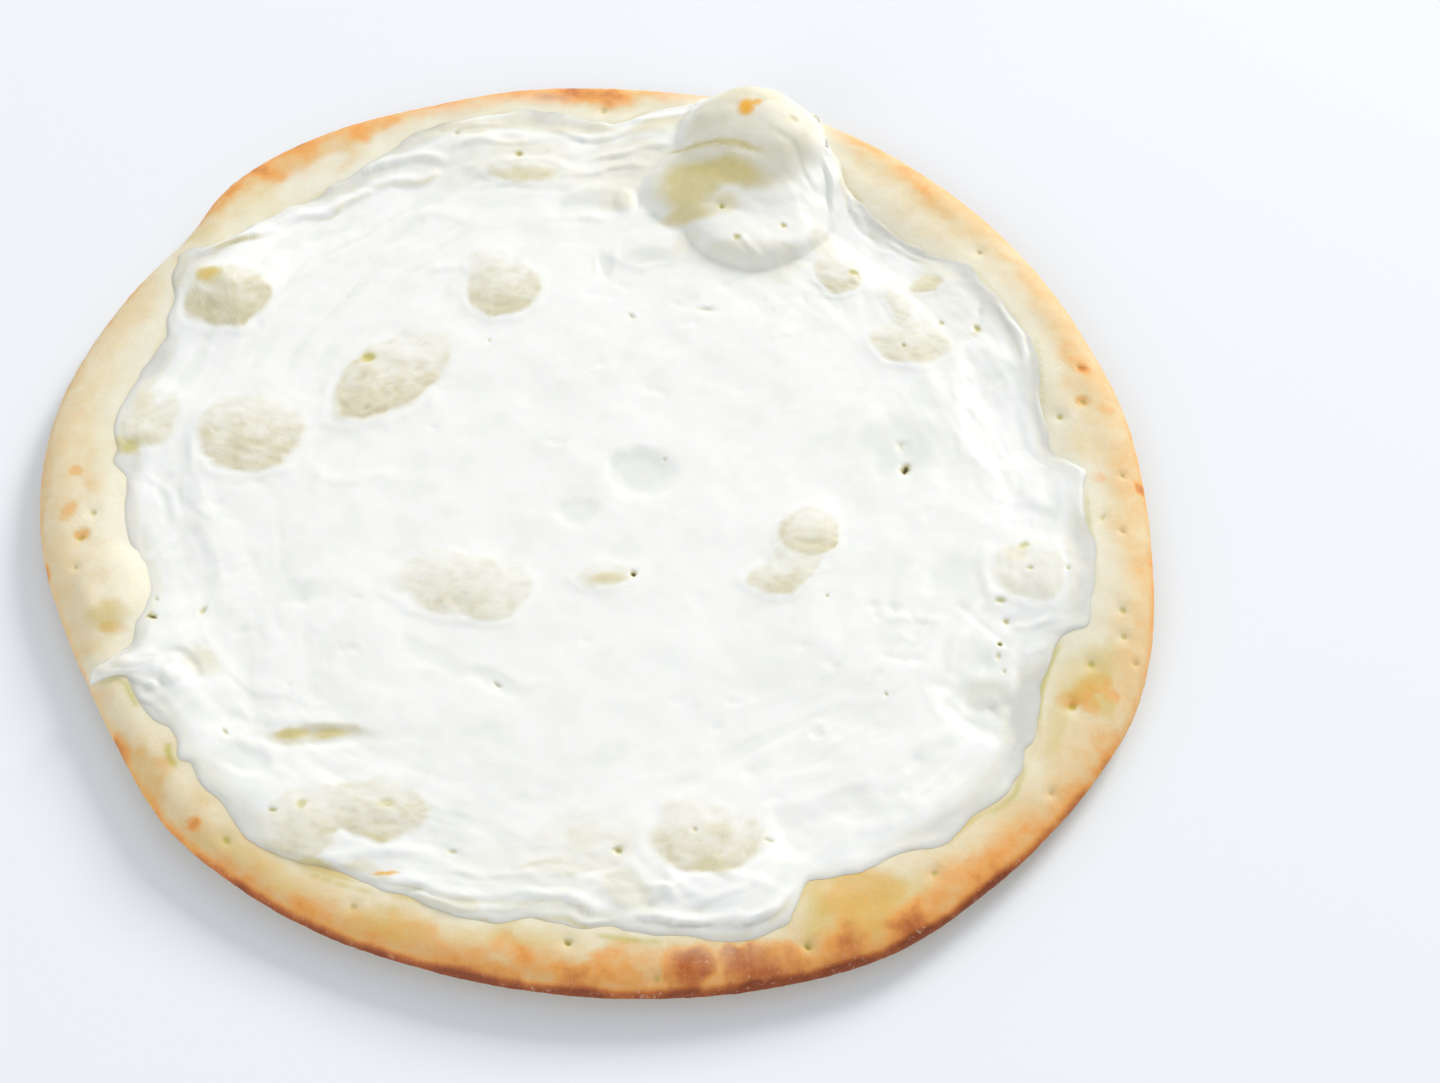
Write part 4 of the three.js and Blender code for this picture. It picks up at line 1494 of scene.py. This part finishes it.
        # spoon marks and ruffles, which fade out at the very edge
        within = smoothstep(0.0, 0.06, inside)
        depth += self.streak_height * self._streaks(flat) * smoothstep(0.45, 0.8, share) * within
        ruffle = 0.5 - np.abs(fractal(on_table(warped(flat, 3.0, 16.0, seed=17)), 7.0, 2, seed=18))
        depth += (0.04 + self.ruffle_height * smoothstep(0.78, 0.9, share) * within) * ruffle
        draw = random.Random(self.chip_seed)
        chips = [chip for chip_field in CHIP_FIELDS for chip in chip_field.chips(draw)]
        for fold in (*FOLDS, *chips):
            depth += self.fold_scale * fold.rise(rippled, uneven)
        for hollow in HOLLOWS_WITH_SHADE:
            depth += hollow.high * hollow.cover(rippled, 0.4 * uneven)
        for lump in LUMPS:
            depth += lump.high * lump.cover(rippled, 0.4 * uneven)
        return np.maximum(depth, self.thinnest)

    @staticmethod
    def _streaks(flat: np.ndarray) -> np.ndarray:
        """Long smears that run round the middle, as the spoon left them.

        Args:
            flat: Rows of x, y.

        Returns:
            One value for each row, mostly between -1 and 1.
        """
        swirled = warped(flat, 9.0, 45.0, seed=27)
        bearing = np.arctan2(swirled[:, 1], swirled[:, 0])
        radius = np.hypot(swirled[:, 0], swirled[:, 1])
        ring = np.column_stack([26 * np.cos(bearing), 26 * np.sin(bearing), 1.1 * radius])
        return fractal(ring, 6.5, 3, seed=26)

    def _cover_bubbles(self, flat: np.ndarray, bent: np.ndarray, ground: np.ndarray,
                       floor: np.ndarray, open_top: np.ndarray) -> tuple[np.ndarray, np.ndarray]:
        """Raises the bubbles through the labneh.

        Args:
            flat: Rows of x, y.
            bent: The same places, bent about.
            ground: The same places with a third column of zeros.
            floor: The dough's top without bubbles.
            open_top: The labneh's top without bubbles.

        Returns:
            The labneh's top, and how thin it is there, from 0 to 1, with painted shade on each
            bubble's near side and a painted highlight on its wrinkles' crests.
        """
        lumpy = fractal(ground, 5.0, 2, seed=16)
        creased = 0.4 - np.abs(fractal(ground * (1.0, 1.7, 1.0), 6.5, 3, seed=17))
        skin = 0.1 * lumpy + 0.16 * creased
        crinkle = 0.3 - np.abs(fractal(on_table(bent) * (1.0, 1.5, 1.0), 3.6, 2, seed=19))
        inside = np.maximum(0.0, 0.99 - self.outline.share(flat))
        base = floor + np.minimum(self.depth, self.film_depth + self.bubble_slope * inside)
        top, thin = open_top.copy(), np.zeros(len(flat))
        for bubble in BUBBLES:
            reach = bubble.reach(bent)
            level = base + bubble.proud * (1 - reach**bubble.power) + skin
            top = smooth_max(level, top, 0.8)
            nearer = np.clip((bubble.centre[1] - bent[:, 1]) / bubble.half[1], -1, 1)
            shown = smoothstep(1.06, 0.84, reach) * bubble.bare
            hem = np.exp(-(((reach - 1.1) / 0.09) ** 2)) * smoothstep(-0.4, 0.5, nearer)
            top += (self.hem_height * hem
                    + self.crinkle_height * crinkle * shown * (0.7 + 0.5 * nearer))
            # beiger towards each bubble's near side as painted shade; whiter on the wrinkles' crests
            # and beiger in their troughs as painted highlight and shade
            thin = np.maximum(thin, shown * (0.5 + 0.26 * nearer + 0.15 * lumpy - 0.3 * crinkle))
        # the tall bubble starts below the dough, so that it adds nothing elsewhere
        mound = floor - 1.0
        for bubble in TALL_BUBBLE:
            reach = bubble.reach(0.5 * (flat + bent))
            level = floor + self.depth + bubble.proud * (1 - reach**bubble.power) + 0.5 * skin
            mound = smooth_max(level, mound, 1.6)
            thin = np.maximum(thin, smoothstep(1.1, 0.7, reach) * bubble.bare)
        relief = open_top - floor - self.depth
        on_mound = smoothstep(0.2, 1.5, mound - floor - self.depth)
        return smooth_max(mound + on_mound * 0.8 * relief, top, 0.9), thin


# ---------------------------------------------------------------------------
# Finishes
# ---------------------------------------------------------------------------


def linear(red: int, green: int, blue: int) -> Colour:
    """Turns an everyday colour of 0 to 255 a channel into the linear one that shaders use."""
    shares = (channel / 255.0 for channel in (red, green, blue))
    return (*(s / 12.92 if s <= 0.04045 else ((s + 0.055) / 1.055) ** 2.4 for s in shares), 1.0)


class Tree:
    """Short ways to add and join the nodes of one material or node group."""

    def __init__(self, nodes: bpy.types.Nodes, links: bpy.types.NodeLinks) -> None:
        """Keeps the nodes and links of the tree."""
        self.nodes, self.links = nodes, links

    def add(self, kind: str, inputs: dict | None = None, **settings: object) -> bpy.types.Node:
        """Adds a node.

        Args:
            kind: The node's type name, without ShaderNode.
            inputs: Values or sockets for its inputs, by name or index.
            **settings: Its own properties.

        Returns:
            The new node.
        """
        node = self.nodes.new("ShaderNode" + kind)
        for name, value in settings.items():
            setattr(node, name, value)
        for name, value in (inputs or {}).items():
            if isinstance(value, bpy.types.NodeSocket):
                self.links.new(value, node.inputs[name])
            else:
                node.inputs[name].default_value = value
        return node

    def attribute(self, name: str) -> bpy.types.NodeSocket:
        """A painted float attribute."""
        return self.add("Attribute", attribute_name=name).outputs["Fac"]

    def math(self, how: str, first: Input, second: Input = 0.0,
             clamp: bool = False) -> bpy.types.NodeSocket:
        """One Math node of two inputs."""
        node = self.add("Math", {0: first, 1: second}, operation=how, use_clamp=clamp)
        return node.outputs[0]

    def mix(self, share: Input, first: Input | Colour,
            second: Input | Colour) -> bpy.types.NodeSocket:
        """Blends two colours."""
        node = self.add("Mix", {"Factor": share, 6: first, 7: second}, data_type="RGBA")
        return node.outputs[2]

    def ramp(self, value: Input, stops: Sequence[tuple[float, Colour]]) -> bpy.types.NodeSocket:
        """Runs a value through a colour ramp.

        Args:
            value: The socket to read.
            stops: The place and the colour of each stop.

        Returns:
            The ramp's colour.
        """
        node = self.add("ValToRGB", {"Fac": value})
        elements = node.color_ramp.elements
        while len(elements) < len(stops):
            elements.new(0.5)
        for element, (place, colour) in zip(elements, stops):
            element.position = place
            element.color = colour
        return node.outputs["Color"]


class Shared(Enum):
    """The node groups that the finishes use."""

    MOTTLE = "food mottle"
    GRAIN = "fine food grain"


class SharedEffects:
    """Builds the node groups once and places them in materials."""

    def __init__(self) -> None:
        """Makes the groups."""
        self.groups = {Shared.MOTTLE: self._mottle(), Shared.GRAIN: self._grain()}

    def place(self, tree: Tree, which: Shared, **values: float) -> bpy.types.NodeSocket:
        """Puts a group into a material.

        Args:
            tree: The material's nodes.
            which: The group.
            **values: Its inputs by name.

        Returns:
            The group's output.
        """
        node = tree.add("Group", node_tree=self.groups[which])
        for name, value in values.items():
            node.inputs[name].default_value = value
        return node.outputs[0]

    @staticmethod
    def _start(which: Shared, inputs: dict[str, float], output: str) -> tuple[
            bpy.types.ShaderNodeTree, Tree, bpy.types.Node, bpy.types.Node, bpy.types.NodeSocket]:
        """Makes an empty group with named float inputs and one float output.

        Args:
            which: The group.
            inputs: The name and the usual value of each input.
            output: The output's name.

        Returns:
            The group, its tree, its input node, its output node and the object's coordinates.
        """
        group = bpy.data.node_groups.new(which.value, "ShaderNodeTree")
        for name, default in inputs.items():
            socket = group.interface.new_socket(name, in_out="INPUT", socket_type="NodeSocketFloat")
            socket.default_value = default
        group.interface.new_socket(output, in_out="OUTPUT", socket_type="NodeSocketFloat")
        tree = Tree(group.nodes, group.links)
        given = group.nodes.new("NodeGroupInput")
        result = group.nodes.new("NodeGroupOutput")
        place = tree.add("TexCoord").outputs["Object"]
        return group, tree, given, result, place

    def _mottle(self) -> bpy.types.ShaderNodeTree:
        """Makes the group of blotches.

        Returns:
            A mask from 0 to 1. Size is in blotches per metre, and Low and High set the contrast.
        """
        group, tree, given, result, place = self._start(
            Shared.MOTTLE, {"Size": 100.0, "Low": 0.35, "High": 0.65}, "Mask")
        warp = tree.add("TexNoise", {"Vector": place, "Scale": 60.0, "Detail": 2.0})
        bent = tree.add("VectorMath", {0: warp.outputs["Color"], 1: (0.006, 0.006, 0.006)},
                        operation="MULTIPLY")
        moved = tree.add("VectorMath", {0: place, 1: bent.outputs[0]}, operation="ADD")
        blotch = tree.add("TexNoise", {"Vector": moved.outputs[0], "Scale": given.outputs["Size"],
                                       "Detail": 5.0, "Roughness": 0.6})
        mask = tree.add("MapRange", {"Value": blotch.outputs[0], "From Min": given.outputs["Low"],
                                     "From Max": given.outputs["High"]})
        group.links.new(mask.outputs[0], result.inputs[0])
        return group

    def _grain(self) -> bpy.types.ShaderNodeTree:
        """Makes the group of coarse and fine grain.

        Returns:
            A height. Coarse and Fine are in grains per metre, and Share is the fine one's weight.
        """
        group, tree, given, result, place = self._start(
            Shared.GRAIN, {"Coarse": 400.0, "Fine": 1800.0, "Share": 0.4}, "Height")
        coarse = tree.add("TexNoise", {"Vector": place, "Scale": given.outputs["Coarse"],
                                       "Detail": 3.0, "Roughness": 0.55})
        fine = tree.add("TexNoise", {"Vector": place, "Scale": given.outputs["Fine"],
                                     "Detail": 2.0, "Roughness": 0.6})
        weighted = tree.math("MULTIPLY", fine.outputs[0], given.outputs["Share"])
        total = tree.math("ADD", coarse.outputs[0], weighted)
        group.links.new(total, result.inputs[0])
        return group


def new_material(name: str) -> tuple[bpy.types.Material, Tree, bpy.types.Node]:
    """Starts a material.

    Args:
        name: The material's name.

    Returns:
        The material, its tree and its Principled BSDF.
    """
    material = bpy.data.materials.new(name)
    material.use_nodes = True
    tree = Tree(material.node_tree.nodes, material.node_tree.links)
    shader = next(node for node in tree.nodes if node.type == "BSDF_PRINCIPLED")
    return material, tree, shader


@dataclass(frozen=True)
class BakedCrust:
    """Baked wheat dough, from floury cream to dark golden brown.

    The colours from pale to dark are the steps of baking. The others are oil, the bottoms of the
    pricked holes, the dusting of flour, and labneh smeared thin.
    """

    pale: Colour = linear(240, 231, 207)
    cream: Colour = linear(232, 215, 178)
    golden: Colour = linear(230, 196, 142)
    orange: Colour = linear(236, 167, 88)
    brown: Colour = linear(194, 110, 52)
    dark: Colour = linear(140, 68, 32)
    oily: Colour = linear(214, 188, 102)
    pricked: Colour = linear(190, 180, 70)
    flour: Colour = linear(240, 214, 184)
    smeared: Colour = linear(238, 236, 220)

    def make(self, effects: SharedEffects) -> bpy.types.Material:
        """Makes the crust's material.

        Args:
            effects: The shared node groups.

        Returns:
            The material.
        """
        material, tree, shader = new_material("baked crust")
        bake = tree.attribute("bake")
        blotch = effects.place(tree, Shared.MOTTLE, Size=150.0, Low=0.3, High=0.7)
        speck = effects.place(tree, Shared.MOTTLE, Size=520.0, Low=0.35, High=0.7)
        wide = tree.math("MULTIPLY", tree.math("SUBTRACT", blotch, 0.5), 0.16)
        narrow = tree.math("MULTIPLY", tree.math("SUBTRACT", speck, 0.5), 0.05)
        shifted = tree.math("ADD", tree.math("ADD", bake, wide), narrow)
        colour = tree.ramp(shifted, ((0.0, self.pale), (0.18, self.cream), (0.38, self.golden),
                                     (0.58, self.orange), (0.8, self.brown), (1.0, self.dark)))
        scratch = effects.place(tree, Shared.MOTTLE, Size=900.0, Low=0.58, High=0.72)
        baked = tree.add("MapRange", {"Value": bake, "From Min": 0.55, "From Max": 0.8, "To Max": 0.4})
        colour = tree.mix(tree.math("MULTIPLY", scratch, baked.outputs[0]), colour, self.flour)
        colour = tree.mix(tree.math("MULTIPLY", tree.attribute("oil"), 0.92), colour, self.oily)
        colour = tree.mix(tree.attribute("smear"), colour, self.smeared)
        colour = tree.mix(tree.attribute("pit"), colour, self.pricked)
        tree.links.new(colour, shader.inputs["Base Color"])
        rough = tree.add("MapRange", {"Value": shifted, "From Min": 0.1, "From Max": 0.9,
                                      "To Min": 0.66, "To Max": 0.5})
        tree.links.new(rough.outputs[0], shader.inputs["Roughness"])
        shader.inputs["Specular IOR Level"].default_value = 0.3
        shader.inputs["Subsurface Weight"].default_value = 0.25
        shader.inputs["Subsurface Radius"].default_value = (1.0, 0.65, 0.35)
        shader.inputs["Subsurface Scale"].default_value = 0.0018
        grain = effects.place(tree, Shared.GRAIN, Coarse=380.0, Fine=1400.0, Share=0.35)
        bump = tree.add("Bump", {"Height": grain, "Strength": 0.32, "Distance": 0.0004})
        tree.links.new(bump.outputs[0], shader.inputs["Normal"])
        return material


@dataclass(frozen=True)
class Labneh:
    """Strained yoghurt: white where thick, beige and wrinkled where it baked thin, with painted shade
    in its hollows.

    The lightest colour is the open labneh and the grey-green one its cooler tone and painted shade,
    the two beiges the film over the bubbles, the deeper one also painted shade on their near sides,
    yellow and olive the oil, orange the toasted flecks, and the last two the bottoms of the burst
    holes: olive, and nearly black as painted shade.
    """

    white: Colour = linear(249, 248, 244)
    cool_tone_and_shade: Colour = linear(229, 231, 224)
    beige: Colour = linear(238, 235, 221)
    deep_beige: Colour = linear(212, 202, 164)
    yellow: Colour = linear(226, 208, 144)
    olive: Colour = linear(196, 186, 92)
    orange: Colour = linear(236, 176, 58)
    burst: Colour = linear(200, 190, 78)
    hole_shade: Colour = linear(74, 58, 34)

    def make(self, effects: SharedEffects) -> bpy.types.Material:
        """Makes the labneh's material.

        Args:
            effects: The shared node groups.

        Returns:
            The material.
        """
        material, tree, shader = new_material("labneh")
        thin = tree.attribute("thin")
        blotch = effects.place(tree, Shared.MOTTLE, Size=90.0, Low=0.35, High=0.7)
        curd = effects.place(tree, Shared.MOTTLE, Size=160.0, Low=0.3, High=0.72)
        # the grey-green mix: random blotches, plus the painted shade of the hollows and streaks
        shade = tree.math("MULTIPLY", blotch, 0.14)
        shade = tree.math("ADD", shade, tree.math("MULTIPLY", tree.attribute("cool_tone_and_shade"), 0.8), clamp=True)
        base = tree.mix(shade, self.white, self.cool_tone_and_shade)
        patchy = tree.math("MULTIPLY", tree.math("SUBTRACT", curd, 0.5), 0.35)
        shown = tree.math("ADD", thin, tree.math("MULTIPLY", patchy, thin), clamp=True)
        film = tree.mix(shown, self.beige, self.deep_beige)
        colour = tree.mix(tree.math("MULTIPLY", shown, 1.8, clamp=True), base, film)
        stained = tree.mix(tree.math("MULTIPLY", curd, 0.5), self.yellow, self.olive)
        colour = tree.mix(tree.math("MULTIPLY", tree.attribute("yellow"), 0.9), colour, stained)
        colour = tree.mix(tree.attribute("orange"), colour, self.orange)
        # past 0.6 a hole's bottom darkens towards nearly black: painted shade in the hole
        pit = tree.attribute("pit")
        hole = tree.add("MapRange", {"Value": pit, "From Min": 0.6, "From Max": 1.0})
        colour = tree.mix(pit, colour, tree.mix(hole.outputs[0], self.burst, self.hole_shade))
        tree.links.new(colour, shader.inputs["Base Color"])
        rough = tree.add("MapRange", {"Value": thin, "To Min": 0.46, "To Max": 0.6})
        tree.links.new(rough.outputs[0], shader.inputs["Roughness"])
        shader.inputs["Specular IOR Level"].default_value = 0.3
        shader.inputs["Subsurface Weight"].default_value = 0.4
        shader.inputs["Subsurface Radius"].default_value = (1.0, 0.92, 0.75)
        shader.inputs["Subsurface Scale"].default_value = 0.0016
        grain = effects.place(tree, Shared.GRAIN, Coarse=240.0, Fine=900.0, Share=0.25)
        lift = tree.math("MULTIPLY", grain, tree.math("ADD", tree.math("MULTIPLY", thin, 1.2), 0.08))
        bump = tree.add("Bump", {"Height": lift, "Strength": 0.4, "Distance": 0.0005})
        tree.links.new(bump.outputs[0], shader.inputs["Normal"])
        return material


# ---------------------------------------------------------------------------
# The studio
# ---------------------------------------------------------------------------


@dataclass
class Studio:
    """Camera, lights and floor for a soft, bright table-top picture.

    Attributes:
        centre: The middle of the bread, in metres.
        aim: The place that the camera looks at, in millimetres.
        elevation: How steeply it looks down, in degrees.
        distance: How far it is from there, in millimetres.
        lens: Its focal length in millimetres.
        floor_colour: The colour of the table.
    """

    centre: Vector
    aim: Triple = (31.6, -14.2, 4.0)
    elevation: float = 56.0
    distance: float = 630.7
    lens: float = 65.0
    floor_colour: Colour = linear(239, 241, 245)

    def camera(self) -> bpy.types.Object:
        """Puts the camera in front of the bread, looking down on it.

        Returns:
            The camera.
        """
        data = bpy.data.cameras.new("camera")
        data.lens = self.lens
        data.sensor_width = 36.0
        aim = Vector(self.aim) * METRES_PER_MM
        tilt = math.radians(self.elevation)
        back = Vector((0.0, -math.cos(tilt), math.sin(tilt)))
        camera = bpy.data.objects.new("camera", data)
        camera.location = aim + back * self.distance * METRES_PER_MM
        camera.rotation_euler = (math.pi / 2 - tilt, 0.0, 0.0)
        bpy.context.scene.collection.objects.link(camera)
        bpy.context.scene.camera = camera
        return camera

    def lamp(self, name: str, place: Triple, size: float, power: float, colour: Triple) -> None:
        """Adds a square area light that faces the bread.

        Args:
            name: The light's name.
            place: Where it is, in metres from the bread's middle.
            size: The length of its sides in metres.
            power: Its power in watts.
            colour: Its colour.
        """
        data = bpy.data.lights.new(name, "AREA")
        data.shape = "SQUARE"
        data.size, data.energy, data.color = size, power, colour
        light = bpy.data.objects.new(name, data)
        light.location = self.centre + Vector(place)
        towards = self.centre - light.location
        light.rotation_euler = towards.to_track_quat("-Z", "Y").to_euler()
        bpy.context.scene.collection.objects.link(light)

    def lights(self) -> None:
        """A soft key from the back right and bright surroundings."""
        self.lamp("key", (1.86, 2.66, 1.6), size=1.2, power=104.0, colour=(1.0, 0.97, 0.915))
        self.lamp("window", (-0.27, 3.14, 2.46), size=2.4, power=12.0, colour=(1.0, 0.99, 0.97))
        self.lamp("fill", (-1.55, -2.3, 1.35), size=2.4, power=29.0, colour=(1.0, 0.99, 0.97))
        world = bpy.data.worlds.new("surroundings")
        world.use_nodes = True
        background = world.node_tree.nodes["Background"]
        background.inputs["Color"].default_value = (0.905, 0.955, 1.01, 1.0)
        background.inputs["Strength"].default_value = 0.56
        bpy.context.scene.world = world
        bpy.context.scene.view_settings.view_transform = "Standard"

    def floor(self) -> bpy.types.Object:
        """Makes a plain pale table top.

        Returns:
            None; the table top stays in the scene, marked as its backdrop.
        """
        work = bmesh.new()
        bmesh.ops.create_grid(work, x_segments=1, y_segments=1, size=3.0)
        mesh = bpy.data.meshes.new("table_top")
        work.to_mesh(mesh)
        work.free()
        table = bpy.data.objects.new("table_top", mesh)
        material, tree, shader = new_material("pale table")
        place = tree.add("TexCoord").outputs["Object"]
        cloud = tree.add("TexNoise", {"Vector": place, "Scale": 3.0, "Detail": 2.0})
        paler = tuple(channel * 1.02 for channel in self.floor_colour[:3]) + (1.0,)
        tree.links.new(tree.mix(cloud.outputs[0], self.floor_colour, paler),
                       shader.inputs["Base Color"])
        shader.inputs["Roughness"].default_value = 0.7
        shader.inputs["Specular IOR Level"].default_value = 0.2
        mesh.materials.append(material)
        bpy.context.scene.collection.objects.link(table)
        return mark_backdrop(table)


def main() -> None:
    """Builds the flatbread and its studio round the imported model."""
    logging.basicConfig(level=logging.INFO, format="%(message)s")
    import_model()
    low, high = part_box("flatbread")
    outline = np.array(CRUST_POINTS, float)
    middle = (outline.min(0) + outline.max(0)) / 2
    offset = tuple((low.xy + high.xy) / 2 / METRES_PER_MM - Vector(middle))
    effects = SharedEffects()

    studio = Studio(centre=(low + high) / 2)
    studio.camera()
    studio.lights()
    studio.floor()

    dough = Dough(Outline(CRUST_POINTS, rounding=6.0, offset=offset))
    labneh_edge = Outline(LABNEH_POINTS, rounding=0.6, offset=offset)
    bread = Flatbread(dough, labneh_edge)
    soft_edge = Outline(LABNEH_POINTS, rounding=9.0, offset=offset)
    spread = LabnehSpread(dough, labneh_edge, soft_edge)
    pieces = (
        (bread.build(), "flatbread", "bread_crust", BakedCrust().make(effects)),
        (spread.build(), "labneh_spread", "labneh", Labneh().make(effects)),
    )
    for piece, node, slot, material in pieces:
        piece.data.materials.append(material)
        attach(piece, "root")
        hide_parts(node)
        LOG.info("%s: %d faces", piece.name, len(piece.data.polygons))


if __name__ == "__main__":
    main()
